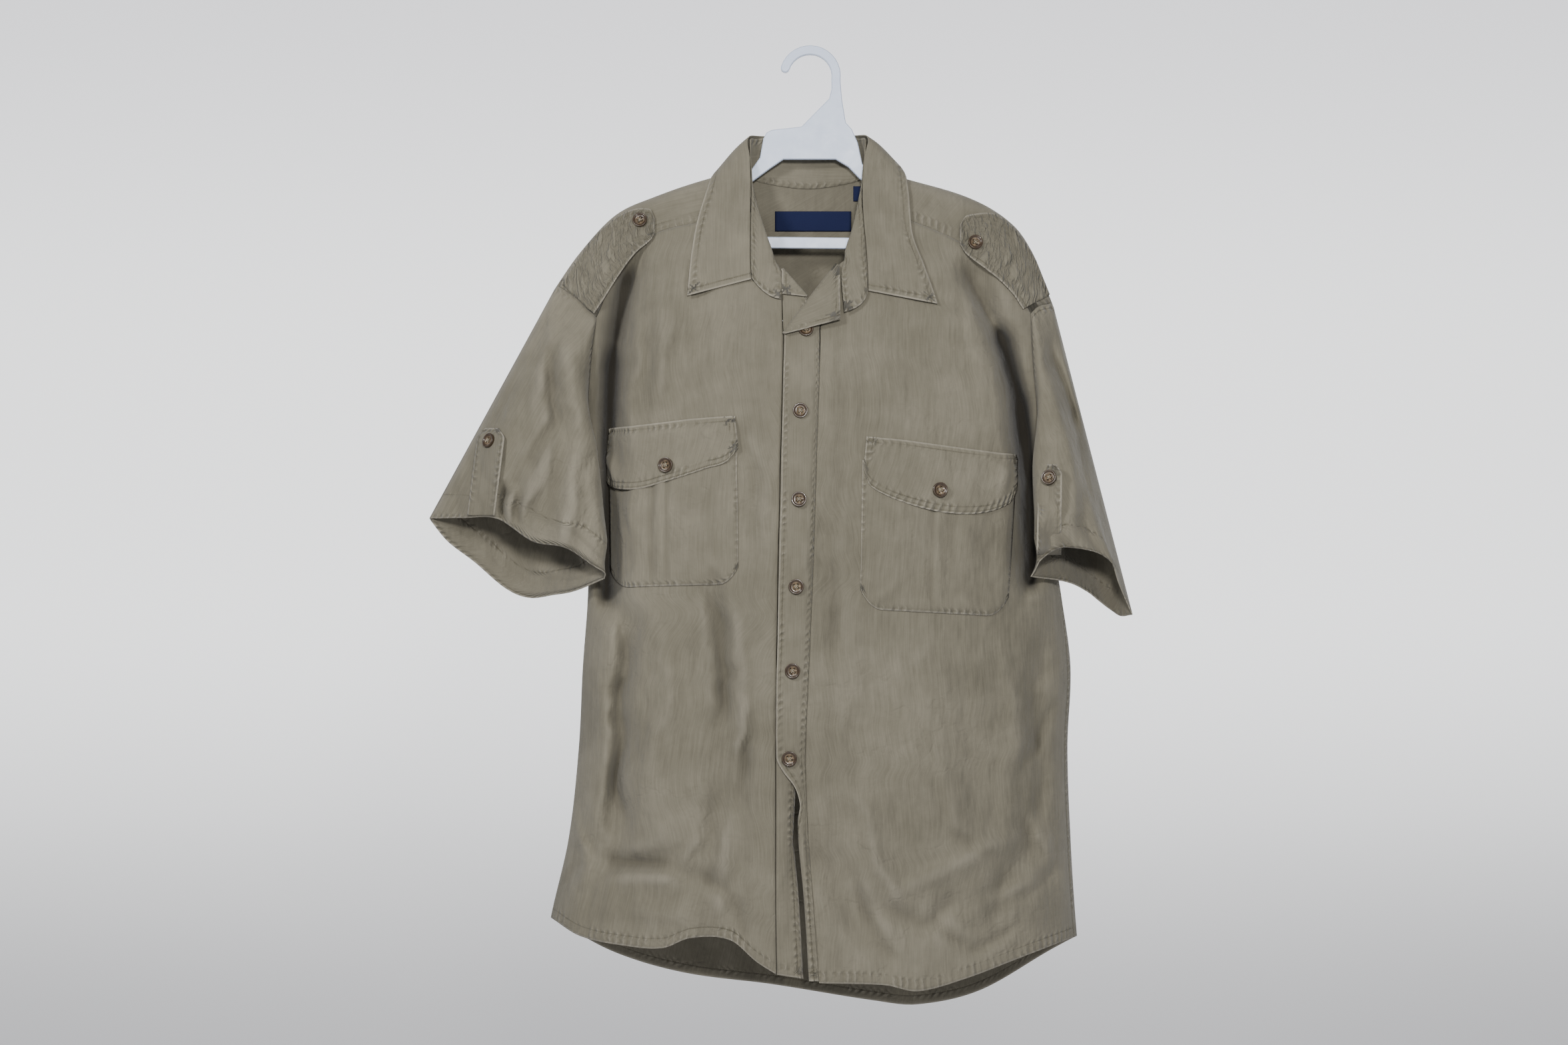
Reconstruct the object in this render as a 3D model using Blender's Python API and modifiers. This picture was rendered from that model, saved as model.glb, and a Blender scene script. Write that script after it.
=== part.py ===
# A short-sleeved military shirt on a plastic hanger, as cut and sewn pieces.
# The tables hold millimetres in the plane of the hanger: x to the side, and "drop" down from the crown of
# the hanger's hook. Meshes are written in metres, with +Z up and the shirt's front towards -Y.

import bmesh
import bpy
import numpy as np
from math import asin, cos, degrees, hypot, pi, radians, sin, sqrt
from mathutils import Vector

mm = 0.001

# Cloth
wall = 1.2
seam = 0.4
sideGap = 0.9
sleeveGap = 1.1

# How finely the panels are divided, so that neighbours share their stations along a seam
armholeRows = 8
bodyRowsBelow = 11
yokeShares = (0, 0.075, 0.155, 0.24, 0.34, 0.47, 0.63, 0.81, 1)
tipShares = (0, 0.3, 0.56, 0.76, 0.9, 1)
necklineColumns = 5
rollRadius = 9.0

# The world's origin is the crown of the hook's inside, at this x of the tables.
originX = -3.0

# The tables are read as the eye sees them from this point, so nearer cloth is drawn in towards it.
eyeX = -29.0
eyeDrop = 466.0
eyeDistance = 2170.0

# Body sections: drop, left and right silhouette, depth in front of and behind the hanger
bodyRows = (
    (110, -262, 252, 24, 26),
    (235, -262, 248, 58, 40),
    (262, -250, 244, 66, 42),
    (300, -240, 238, 74, 44),
    (350, -233, 235, 82, 46),
    (470, -223, 236, 90, 50),
    (540, -224, 247, 92, 51),
    (610, -229, 256, 92, 52),
    (690, -233, 253, 93, 52),
    (780, -243, 256, 94, 53),
    (860, -261, 261, 96, 54),
    (960, -278, 270, 98, 55),
)
sideSeamTurn = {"right": -93.0, "left": 81.0}

# Shoulder ridge over the hanger: x, drop
ridgeRows = (
    (-275, 262), (-257, 233.5), (-232, 197.6), (-197, 160.5), (-159, 142.5), (-106, 124.5), (-62, 115),
    (0, 111), (52, 113.5), (92, 124), (159, 144.6), (200, 171), (221, 203), (239, 251), (252, 275),
)

# Armholes on the front and on the back: drop, x
armholeFront = {
    "right": ((262, -216), (300, -221), (360, -225), (420, -225), (470, -222)),
    "left": ((258, 217), (300, 219), (360, 224), (420, 229), (480, 236)),
}
armholeBack = {
    "right": ((262, -232), (300, -226), (360, -220), (420, -219), (470, -222)),
    "left": ((258, 228), (300, 224), (360, 222), (420, 226), (480, 236)),
}
armpitDrop = {"right": 470.0, "left": 480.0}
shoulderTip = {"right": -257.0, "left": 239.0}

# Upper edge of each front, from the armhole along the yoke seam and down the neckline: x, drop
frontCorners = {"right": (-216, -66, -31.7), "left": (217, 52, 26)}
frontTop = {
    "right": ((-216, 262), (-190, 205), (-159, 179), (-114, 167), (-78, 160), (-66, 150), (-62, 158),
              (-51, 183), (-45, 204), (-40, 216), (-31, 221)),
    "left": ((26, 209), (36, 198), (44, 168), (52, 150), (64, 156), (104, 168), (149, 188), (190, 214),
             (217, 258)),
}

# Hems: x, drop
frontHem = {
    "right": ((-262, 859), (-232, 878), (-185, 888), (-150, 890), (-122, 880), (-83, 882), (-56, 904),
              (-35.5, 917)),
    "left": ((6, 925), (72, 927), (104, 933), (150, 921), (200, 902), (262, 878)),
}
backHem = ((-262, 859), (-200, 893), (-130, 914), (-40, 926), (60, 942), (104, 946), (166, 932), (236, 892),
           (262, 878))
backYokeSeamDrop = 265.0
hemLevel = 880.0

# Neckline of the yoke: station round the yoke, x, drop, and the way from the ridge (-1 front, 1 back)
neckRows = (
    (0.0, -66, 150, -1), (0.12, -66, 0, 0), (0.22, -52, 124, 1), (0.36, -26, 129, 1), (0.5, -5, 130, 1),
    (0.64, 18, 129, 1), (0.78, 40, 124, 1), (0.88, 55, 0, 0), (1.0, 52, 150, -1),
)
# Stations round the yoke of the shoulder tip and of the armhole's back corner, and the yoke's depth
tipStation = 0.12
backStation = 0.22
yokeDepth = 150.0

# Front closing: drop, x of the placket's free edge, of its seam, of the stand's seam and free edge,
# how far the stand's free edge lies back, how far the placket's curls under in degrees
closingRows = (
    (210, -28, 26, -31.5, -7, 0, 0),
    (270, -28, 7.6, -30, -6.5, 0, 0),
    (283, -28.3, 7.4, -29.4, -6.5, 0, 0),
    (355, -30, 5, -31, -6.5, 0, 0),
    (530, -34, -0.8, -35, -10, 0, 0),
    (700, -36.5, -8, -37, -18, 0, 0),
    (714, -30, -7.6, -37, -18, 2, 0),
    (730, -18, -7.2, -37, -18, 5, 0),
    (748, -13, -6.5, -37, -18.5, 8, 0),
    (790, -10.5, -4.5, -37, -18.5, 9, 220),
    (845, -5.5, 0.2, -37, -14.5, 6, 240),
    (925, -0.5, 6, -36, -9.5, 4, 240),
)
placketCurl = 3.0
overlapOut = 2.7

# Corners turned back at the neck: ends of the fold line (x, drop), radius of the fold, the way the turned
# cloth runs, the way the fold bulges, and x of the neck seam where it ends
placketTurn = {"from": (-28.0, 280.0), "to": (25.7, 210.0), "radius": 2.8, "run": (0.966, -0.258),
               "bulge": (-0.793, -0.609), "end": 26.6, "least": 0.8}
standTurn = {"from": (-31.5, 213.8), "to": (-3.8, 245.0), "radius": 1.6, "run": (-0.993, -0.119),
             "bulge": (0.748, -0.664), "end": -31.0, "least": 0.8}

# Collar stand: station from one front end round the neck to the other, then x, y and drop of its upper
# edge, its middle and its neck seam
standRows = (
    (0.0, -61, -47.5, 222.5, -47, -53.5, 239, -31.8, -54.5, 243.2),
    (0.05, -61.8, -46, 212, -46, -47.5, 218, -31.9, -47, 217.5),
    (0.1, -62, -41, 200, -40, -43, 201, -39.8, -38.5, 202.5),
    (0.17, -62, -34, 176, -46, -33.5, 176, -50, -28, 180),
    (0.25, -61.5, -24.5, 148, -54.5, -23, 148, -60, -18.5, 154),
    (0.32, -61.3, -15, 120, -61.5, -12, 123, -64.8, -13, 127.6),
    (0.4, -62.3, -1, 85, -63.8, 0, 100, -65.8, 0.3, 113.6),
    (0.43, -57, 9, 84, -59, 8, 101, -59, 9.5, 117.6),
    (0.46, -46, 15, 83, -49, 13, 103, -52, 12, 122.9),
    (0.5, -5, 18.5, 83.5, -5, 16.5, 106, -5, 14.6, 129.2),
    (0.54, 36, 15, 83, 38, 13, 103, 40, 12.4, 122.6),
    (0.57, 46.5, 9, 83.5, 48.5, 8, 101, 48, 9.7, 116.8),
    (0.6, 51.8, -1, 84.5, 52.6, 0, 99, 53.6, 0.3, 111.8),
    (0.68, 49.5, -15, 119, 50, -12, 122, 52.0, -13, 126.2),
    (0.75, 48.3, -24.5, 146, 43.6, -23, 147, 49.6, -18.5, 153),
    (0.83, 50.5, -34, 174, 37.5, -33, 174, 41.5, -28.5, 176.5),
    (0.9, 52.5, -42, 200, 31, -43, 199, 34, -39.5, 200.5),
    (0.95, 53.5, -46.5, 217, 42, -50.5, 219, 28.2, -51.2, 217.5),
    (1.0, 54.3, -50.5, 234, 50, -56, 249, 31.2, -62.2, 256),
)

# Collar leaf: the same stations, then x, y and drop of its seam or fold and of its outer edge
leafRows = (
    (0.0, -61.8, -47.5, 223.5, -125.5, -48, 240),
    (0.06, -62.8, -44, 208, -123.5, -44, 218),
    (0.12, -62.9, -39, 190, -121, -36, 196),
    (0.19, -62.8, -31, 165, -116, -27, 168),
    (0.27, -62.4, -21, 135, -107, -17, 138),
    (0.34, -62.9, -13, 104, -100, -4, 120.5),
    (0.4, -64.4, -1, 82.6, -90, 13, 116),
    (0.45, -48, 18, 81.2, -56, 25, 121),
    (0.5, -5, 21, 81.4, -5, 29, 127),
    (0.55, 38, 18, 80.6, 45, 25, 120),
    (0.6, 54.2, -1, 82.0, 76, 12, 107),
    (0.66, 51.2, -13, 102, 90, -4, 116),
    (0.73, 49.4, -21, 133, 95, -17, 136),
    (0.81, 50.4, -31, 163, 99, -30, 178),
    (0.88, 53, -39, 190, 110, -38, 208),
    (0.94, 54.6, -46, 215, 118, -44, 230),
    (1.0, 55.3, -50.5, 235, 124, -49, 248),
)

# Pockets: corners at the top and the bottom (x, drop), and how far the lower corners round off
pocketCorners = {
    "right": {"top": ((-203, 392), (-76, 384)), "bottom": ((-201, 531), (-74.5, 527)), "round": 17},
    "left": {"top": ((49, 404), (201, 420)), "bottom": ((47, 552), (194, 560)), "round": 19},
}
# Pocket flaps: x and drop of the upper edge and of the lower edge, from one end to the other
flapRows = {
    "right": ((0, -204, 373, -207, 414), (0.08, -194, 371.5, -199, 429), (0.25, -172, 369, -176, 433),
              (0.5, -140, 365, -142, 424), (0.75, -109, 362, -108, 413), (0.92, -87, 360.5, -86, 406),
              (1, -77.5, 360, -75.5, 393)),
    "left": ((0, 53, 380.5, 50, 412), (0.08, 64, 381.5, 57, 430), (0.25, 90, 384, 86, 445),
             (0.5, 127, 389, 127, 456), (0.75, 164, 394, 166, 457), (0.92, 190, 397, 191, 448),
             (1, 201, 398.5, 199, 434)),
}
pocketOut = 2.2
pocketWall = 1.0
flapOut = 4.3
flapSpring = 0.8
epauletteOut = 2.8
tabOut = 2.6

# Epaulettes: x and drop of both long edges, from the buttoned end to the sleeve
epauletteRows = {
    "right": ((0, -157.5, 164, -157.5, 178), (0.1, -163, 154.5, -161, 185), (0.35, -187, 159.5, -178, 200),
              (0.6, -212, 179, -194, 222), (0.8, -232, 204, -207, 243), (1, -249, 229, -217, 258)),
    "left": ((0, 146, 170, 146, 190), (0.1, 153, 161, 152, 199), (0.35, 180, 160.5, 171, 214),
             (0.6, 201, 178, 186, 226), (0.8, 218, 204, 199, 240), (1, 233, 240, 208, 254)),
}

# Sleeve hems: share from the outer edge to the underarm, x and drop of the near edge and of the far edge
sleeveHem = {
    "right": ((0, -382, -2, 462, -382, -2, 463), (0.14, -350, -22, 461.5, -364, 10, 485),
              (0.3, -316, -42, 462, -338, 18, 505), (0.5, -281, -54, 485, -306, 20, 532),
              (0.66, -251, -62, 491, -283, 12, 541), (0.82, -223, -64, 509, -258, -4, 538),
              (0.92, -209, -58, 517, -237, -24, 534), (1, -208, -47, 522, -208, -47, 522)),
    "left": ((0, 318, -4, 558, 318, -4, 558), (0.2, 305, -30, 527, 306, 14, 559),
             (0.35, 298, -46, 506, 295, 18, 552), (0.5, 281, -60, 495, 285, 14, 544),
             (0.68, 251, -72, 491, 272, 0, 534), (0.85, 231, -72, 502, 252, -26, 525),
             (1, 217, -56, 520, 217, -56, 520)),
}
sleeveInner = {"right": 17.0, "left": -12.0}
sleeveSwell = {"near": 24.0, "far": 6.0}
sleeveFolds = {
    "right": ((-262, 262, -268, 320, 9, -7), (-246, 330, -262, 470, 13, 7), (-285, 300, -330, 420, 14, -6),
              (-300, 420, -296, 470, 9, 6)),
    "left": ((236, 300, 262, 365, 9, 7), (262, 365, 300, 300, 9, 6), (262, 365, 268, 470, 12, 6)),
}

# Sleeve tabs: x and drop of the middle at the buttoned top and at the hem, and the width
tabRows = {"right": ((-320, 372), (-331, 459), 27), "left": ((236, 408), (235, 498), 24)}

# Buttons: x and drop of the centre
buttonSize = 14.5
buttonThickness = 3.0
frontButtons = ((-7, 274), (-12.6, 355), (-13.9, 443), (-16.6, 530), (-20.2, 614), (-23.4, 701.5))
pocketButtons = {"right": (-145, 409), "left": (125, 434)}
epauletteButtons = {"right": (-172, 166), "left": (161, 188)}
tabButtonDown = 0.15

# Labels inside the neck: x and drop of two opposite corners
labels = {"neck_label": ((-38, 156), (38, 176)), "size_tab": ((40, 131), (51.5, 146))}

# Hanger: hook, arm and bar
hookCentre = (originX, 21.5)
hookRadius = 26.0
hookBand = 9.0
hookTipAngle = 162.0
hookEndAngle = -8.0
hangerThickness = 6.0
hangerEdge = 0.8
armBelowRidge = 2.5
armHeight = 16.5
hookBranch = ((28.6, 44), (32.5, 68), (38.5, 74.5), (44.4, 88), (49, 109), (54, 115.6))
hookFork = ((18.4, 34), (16, 44), (-11.6, 72), (-41, 75.2), (-46.5, 78), (-49.5, 84), (-53, 103),
            (-62, 115.5))
barEnds = {"right": ((-195, 191.5), (-199.5, 188), (-200.5, 180)),
           "left": ((200.5, 184), (199.5, 192), (195, 195))}
bridgeUnderside = ((-61, 127), (-42, 113), (-29.5, 104.5), (22.5, 104.5), (35, 112), (46.5, 124))

# Largest folds on the front: x and drop at both ends, width, depth (troughs above 0, ridges below 0)
frontFolds = (
    (-180, 190, -197, 300, 15, 17),
    (-197, 300, -200, 560, 14, 15),
    (-176, 555, -193, 640, 11, 9),
    (-193, 640, -198, 800, 12, 8),
    (-153, 225, -150, 350, 16, -5),
    (-97, 530, -86, 660, 12, 5),
    (-64, 677, -90, 760, 12, 6),
    (-215, 812, -131, 796, 11, 5),
    (-148, 640, -150, 820, 26, -6),
    (158, 205, 192, 300, 14, 15),
    (192, 300, 208, 390, 13, 12),
    (208, 390, 213, 540, 12, 8),
    (17, 450, 15, 600, 11, 4),
    (-2, 780, 62, 895, 12, 6),
    (66, 847, 108, 869, 11, 4),
    (108, 869, 146, 842, 11, 4),
    (100, 690, 190, 830, 26, -6),
    (205, 800, 175, 868, 13, 6),
    (222, 590, 216, 800, 12, 7),
)
backFolds = (
    (-150, 290, -165, 850, 17, 11),
    (-70, 300, -80, 880, 19, 8),
    (8, 290, 14, 900, 18, 9),
    (88, 300, 84, 880, 20, 7),
    (160, 290, 172, 850, 16, 12),
)


def along(rows, key):
    """Smooth value between the rows of a table; the first column is the key and grows."""
    table = np.asarray(rows, float)
    keys = table[:, 0]
    if key <= keys[0]:
        return table[0, 1:]
    if key >= keys[-1]:
        return table[-1, 1:]
    row = int(np.searchsorted(keys, key, side="right")) - 1
    span = keys[row + 1] - keys[row]
    share = (key - keys[row]) / span

    def slope(i):
        low, high = max(i - 1, 0), min(i + 1, len(keys) - 1)
        return (table[high, 1:] - table[low, 1:]) / (keys[high] - keys[low])

    start, end = table[row, 1:], table[row + 1, 1:]
    squared, cubed = share ** 2, share ** 3
    return (
        (2 * cubed - 3 * squared + 1) * start
        + (cubed - 2 * squared + share) * span * slope(row)
        + (3 * squared - 2 * cubed) * end
        + (cubed - squared) * span * slope(row + 1)
    )


def ease(value, low, high):
    share = min(max((value - low) / (high - low), 0.0), 1.0)
    return share * share * (3 - 2 * share)


def foldDepth(rows, x, drop):
    """Depth of the folds at a point, into the shirt."""
    total = 0.0
    for startX, startDrop, endX, endDrop, width, depth in rows:
        runX, runDrop = endX - startX, endDrop - startDrop
        length = hypot(runX, runDrop)
        share = ((x - startX) * runX + (drop - startDrop) * runDrop) / length ** 2
        across = abs((x - startX) * runDrop - (drop - startDrop) * runX) / length
        startFade = ease(share * length, -width * 1.5, width * 1.5)
        endFade = ease((1 - share) * length, -width * 1.5, width * 1.5)
        total += depth * startFade * endFade * np.exp(-((across / width) ** 2))
    return total


def ridge(x):
    return along(ridgeRows, x)[0]


def section(drop):
    left, right, front, back = along(bodyRows, drop)
    return (left + right) / 2, (right - left) / 2, front, back


def turnAt(x, drop):
    """Angle round the body of a point on the front: 0 is the middle, -90 and 90 the sides."""
    centre, half, _, _ = section(drop)
    return degrees(asin(min(max((x - centre) / half, -1.0), 1.0)))


def body(turn, drop, folded=1):
    """Point on the body at an angle round it (beyond 90 it is the back) and a drop."""
    centre, half, front, back = section(drop)
    angle = radians(turn)
    x = centre + half * sin(angle)
    below = max(drop - ridge(x), 0.0)
    roll = sqrt(max(rollRadius ** 2 - max(rollRadius - below, 0.0) ** 2, 0.0)) * (1 - ease(below, 60, 200))
    swell = abs(cos(angle)) * (1 - np.exp(-below / 90.0))
    edge = ease(abs(cos(angle)), 0.0, 0.3)
    if cos(angle) >= 0:
        y = -roll - front * swell + folded * edge * ease(below, 10, 90) * foldDepth(frontFolds, x, drop)
        return np.array((x, min(y, -roll * 0.6), drop))
    y = roll + back * swell - edge * foldDepth(backFolds, x, drop)
    return np.array((x, y, drop))


def front(x, drop, out=0.0, folded=1):
    """Point on the front at x and drop, moved out of the cloth towards the eye."""
    def at(px, pdrop):
        return body(turnAt(px, pdrop), pdrop, folded)

    point = at(x, drop)
    if not out:
        return point
    across = at(x + 4, drop) - at(x - 4, drop)
    down = at(x, drop + 4) - at(x, drop - 4)
    normal = np.cross(across, down)
    normal /= np.linalg.norm(normal)
    if normal[1] > 0:
        normal = -normal
    return point + normal * out


def shoulder(x, reach):
    """Point on the yoke: reach runs over the ridge, below 0 down the front and above 0 down the back."""
    turnLength = rollRadius * pi / 2
    travel = abs(reach)
    if travel < turnLength:
        below = rollRadius * (1 - cos(travel / rollRadius))
    else:
        below = rollRadius + travel - turnLength
    drop = ridge(x) + below
    turn = turnAt(x, drop)
    if reach > 0:
        turn = 180 - turn
    return body(turn, drop)


def reachAt(x, drop):
    below = max(drop - ridge(x), 0.0)
    if below < rollRadius:
        return rollRadius * np.arccos(1 - below / rollRadius)
    return below - rollRadius + rollRadius * pi / 2


def place(point):
    """Metres in the world, with the draw towards the eye."""
    x, y, drop = point
    scale = (eyeDistance + y) / eyeDistance
    return (
        (eyeX + (x - eyeX) * scale - originX) * mm,
        y * mm,
        -(eyeDrop + (drop - eyeDrop) * scale) * mm,
    )


def material(name, colour, roughness):
    made = bpy.data.materials.new(name)
    made.use_nodes = True
    shader = made.node_tree.nodes["Principled BSDF"]
    shader.inputs["Base Color"].default_value = (*colour, 1)
    shader.inputs["Roughness"].default_value = roughness
    shader.inputs["Metallic"].default_value = 0
    return made


def sheet(name, rows, look, thickness=wall, ring=False):
    """Cloth wall: an open grid of points through the middle of the cloth, thickened both ways."""
    across = len(rows[0])
    points = [place(point) for row in rows for point in row]
    faces = []
    for i in range(len(rows) - 1):
        for j in range(across if ring else across - 1):
            k = (j + 1) % across
            faces.append((i * across + j, i * across + k, (i + 1) * across + k, (i + 1) * across + j))
    mesh = bpy.data.meshes.new(name)
    mesh.from_pydata(points, [], faces)
    mesh.shade_smooth()
    mesh.materials.append(looks[look])
    piece = bpy.data.objects.new(name, mesh)
    shirt.objects.link(piece)
    thicken = piece.modifiers.new("wall", "SOLIDIFY")
    thicken.thickness = thickness * mm
    thicken.offset = 0
    return piece


def steps(count):
    return [i / count for i in range(count + 1)]


def mix(start, end, share):
    return np.asarray(start, float) * (1 - share) + np.asarray(end, float) * share


def sideTurn(side, drop):
    middle = -90.0 if side == "right" else 90.0
    return middle + (sideSeamTurn[side] - middle) * ease(drop, armpitDrop[side], armpitDrop[side] + 120)


def nudge(turn, drop, distance):
    """Turn moved along the section by a distance, below 0 towards the wearer's right."""
    travel = np.linalg.norm(body(turn + 0.5, drop) - body(turn - 0.5, drop))
    return turn + distance / max(travel, 0.3)


def frontEdge(side, drop):
    """Turn of the armhole and side seam on the front."""
    seamTurn = sideTurn(side, drop)
    if drop >= armpitDrop[side]:
        return seamTurn
    x = along(armholeFront[side], drop)[0]
    return mix(turnAt(x, drop), seamTurn, ease(drop, armpitDrop[side] - 40, armpitDrop[side]))


def backEdge(side, drop):
    """Turn of the armhole and side seam on the back, beyond 90 or -90."""
    seamTurn = sideTurn(side, drop)
    if drop >= armpitDrop[side]:
        return seamTurn
    x = along(armholeBack[side], drop)[0]
    half = -180 if side == "right" else 180
    return mix(half - turnAt(x, drop), seamTurn, ease(drop, armpitDrop[side] - 40, armpitDrop[side]))


def topSeam(side, x, away):
    """Drop a distance below the upper edge of a front, square to the edge."""
    slope = (along(frontTop[side], x + 1)[0] - along(frontTop[side], x - 1)[0]) / 2
    return along(frontTop[side], x)[0] + away * hypot(1, slope)


def settle(column, edge, drop):
    """Drop at which a column of cloth meets an edge given as drop against x."""
    for _ in range(14):
        drop = along(edge, column(drop)[0])[0]
    return drop


def levels(top, middle, bottom):
    """Drops down a column of a panel: armholeRows of them end at the armpit's level."""
    upper = [top + (middle - top) * down for down in steps(armholeRows)]
    return upper + [middle + (bottom - middle) * down for down in steps(bodyRowsBelow)][1:]


def panelEdges(side, drop):
    """Turns of a front's armhole or side seam, and of its seam at the closing."""
    sign = -1 if side == "right" else 1
    seamColumn = 2 if side == "right" else 1
    outer = nudge(frontEdge(side, drop), drop, -sign * sideGap / 2)
    inner = nudge(turnAt(along(closingRows, drop)[seamColumn], drop), drop, sign * seam / 2)
    return outer, inner


def panelPoint(side, share, drop):
    return body(mix(*panelEdges(side, drop), share), drop)


def panelColumns(side):
    """Share across a front of each of its columns, and the drop where the column starts."""
    armX, neckX, seamX = frontCorners[side]
    tops = [mix(armX, neckX, s) for s in yokeShares]
    tops += [mix(neckX, seamX, s) for s in steps(necklineColumns)][1:]
    columns = []
    for x in tops:
        top = topSeam(side, x, seam / 2)
        outer, inner = panelEdges(side, top)
        columns.append((min(max((turnAt(x, top) - outer) / (inner - outer), 0), 1), top))
    return columns


def panelGrid(side):
    """Points of a front, column by column."""
    grid = []
    for share, top in panelColumns(side):
        bottom = settle(lambda drop: panelPoint(side, share, drop), frontHem[side], hemLevel)
        grid.append([panelPoint(side, share, drop) for drop in levels(top, armpitDrop[side], bottom)])
    return np.array(grid)


def buildFront(side):
    return sheet("front_" + side, list(zip(*panelGrid(side))), "cloth")


def facetPoint(grid, column, drop):
    """Point on the facets of a front; the column may lie between two of its columns."""
    low = min(int(column), len(grid) - 2)
    ends = [[np.interp(drop, line[:, 2], line[:, axis]) for axis in range(3)] for line in grid[low:low + 2]]
    return mix(*ends, column - low)


def layOn(side, name, across, out, rowCount, thickness):
    """Piece on a front: across(share) gives both ends of a column of it, out(down) its height."""
    grid = panelGrid(side)

    def columnAt(x, drop):
        xs = np.array([np.interp(drop, line[:, 2], line[:, 0]) for line in grid])
        order = np.argsort(xs)
        return float(np.interp(x, xs[order], order))

    edges = [[columnAt(*mix(*across(end), down)) for end in (0, 1)] for down in steps(rowCount)]
    low, high = np.min(edges, axis=1), np.max(edges, axis=1)
    inner = [c for c in range(len(grid)) if min(low) + 0.3 < c < max(high) - 0.3]
    rows = []
    for i, down in enumerate(steps(rowCount)):
        width = edges[i][1] - edges[i][0]
        stations = [low[i]]
        for left, column in enumerate(inner):
            stations.append(min(max(column, low[i] + 0.12 * (left + 1)), high[i] - 0.12 * (len(inner) - left)))
        row = []
        for column in stations + [high[i]]:
            share = (column - edges[i][0]) / width
            for _ in range(3):
                share += (column - columnAt(*mix(*across(share), down))) / width
            point = facetPoint(grid, column, mix(*across(share), down)[1])
            row.append(point + frontNormal(point[0], point[2]) * out(down))
        rows.append(row)
    return sheet(name, rows, "cloth", thickness=thickness)


def buildBack(columns):
    def point(share, drop):
        right = nudge(backEdge("right", drop), drop, -sideGap / 2) + 360
        left = nudge(backEdge("left", drop), drop, sideGap / 2)
        return body(mix(right, left, share), drop)

    grid = []
    for share in steps(columns):
        bottom = settle(lambda drop: point(share, drop), backHem, hemLevel)
        middle = mix(armpitDrop["right"], armpitDrop["left"], share)
        grid.append([point(share, drop) for drop in levels(backYokeSeamDrop + seam / 2, middle, bottom)])
    return sheet("back", list(zip(*grid)), "cloth")


def frontSeamPoint(side, share):
    """Yoke seam on the front from the neck to the armhole, as x and reach."""
    armX, neckX, _ = frontCorners[side]
    x = neckX + (armX - neckX) * share
    return np.array((x, -reachAt(x, topSeam(side, x, -seam / 2))))


def yokeOuter(s):
    """Armholes and back seam round the yoke, as x and reach."""
    def atBack(x):
        return np.array((x, reachAt(x, backYokeSeamDrop - seam / 2)))

    if s > 0.5:
        side, away = "left", 1 - s
    else:
        side, away = "right", s
    tip, backX = (shoulderTip[side], 0), armholeBack[side][0][1]
    if away < tipStation:
        return mix(frontSeamPoint(side, 1), tip, away / tipStation)
    if away < backStation:
        return mix(tip, atBack(backX), (away - tipStation) / (backStation - tipStation))
    middle = (armholeBack["right"][0][1] + armholeBack["left"][0][1]) / 2
    return atBack(backX + (middle - backX) * (away - backStation) / (0.5 - backStation))


def yokePoint(s, out):
    """Yoke between the neckline (out 0) and its outer edge (out 1)."""
    neck = [(station, x, way * reachAt(x, drop)) for station, x, drop, way in neckRows]
    flat = mix(along(neck, s), yokeOuter(s), out)
    for side, away in (("right", s), ("left", 1 - s)):
        if away < tipStation:
            straight = mix(frontSeamPoint(side, 0), frontSeamPoint(side, 1), out)
            bend = frontSeamPoint(side, out) - straight
            flat = flat + bend * (1 - away / tipStation)
    return shoulder(*flat)


def buildYoke(backColumns):
    stations = [tipStation * s for s in tipShares]
    stations += [backStation - (backStation - tipStation) * s for s in reversed(tipShares)][1:]
    stations += [backStation + (0.5 - backStation) * s for s in steps(backColumns)][1:]
    stations += [1 - s for s in reversed(stations[:-1])]
    edgeGap = seam / 2 / yokeDepth
    yokeOuts = [1 - share for share in reversed(yokeShares)]
    rows = [[yokePoint(s, edgeGap + (1 - 2 * edgeGap) * out) for s in stations] for out in yokeOuts]
    return sheet("yoke", rows, "cloth")


def armhole(side, a):
    """Closed seam round the sleeve head: 0 is the shoulder tip, 0.5 the armpit, the front comes first."""
    if side == "right":
        tip, frontEnd, backEnd = tipStation, 0, backStation
    else:
        tip, frontEnd, backEnd = 1 - tipStation, 1, 1 - backStation
    startDrop = along(frontTop[side], frontSeamPoint(side, 1)[0])[0]
    near = min(a, 1 - a)
    if near < tipStation:
        return yokePoint(mix(tip, frontEnd if a < 0.5 else backEnd, near / tipStation), 1)
    share = (near - tipStation) / (0.5 - tipStation)
    if a <= 0.5:
        drop = mix(startDrop, armpitDrop[side], share)
        return body(frontEdge(side, drop), drop)
    drop = mix(backYokeSeamDrop, armpitDrop[side], share)
    return body(backEdge(side, drop), drop)


def clearOfBody(point, spare):
    """Point pushed out of the body's section, to lie a share of its size beyond it."""
    centre, half, front, back = section(point[2])
    away = hypot((point[0] - centre) / half, point[1] / (front if point[1] < 0 else back))
    if spare > 0 and away < 1 + spare:
        grow = mix(1, (1 + spare) / away, min(spare / 0.02, 1))
        point[0] = centre + (point[0] - centre) * grow
        point[1] *= grow
    return point


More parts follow.
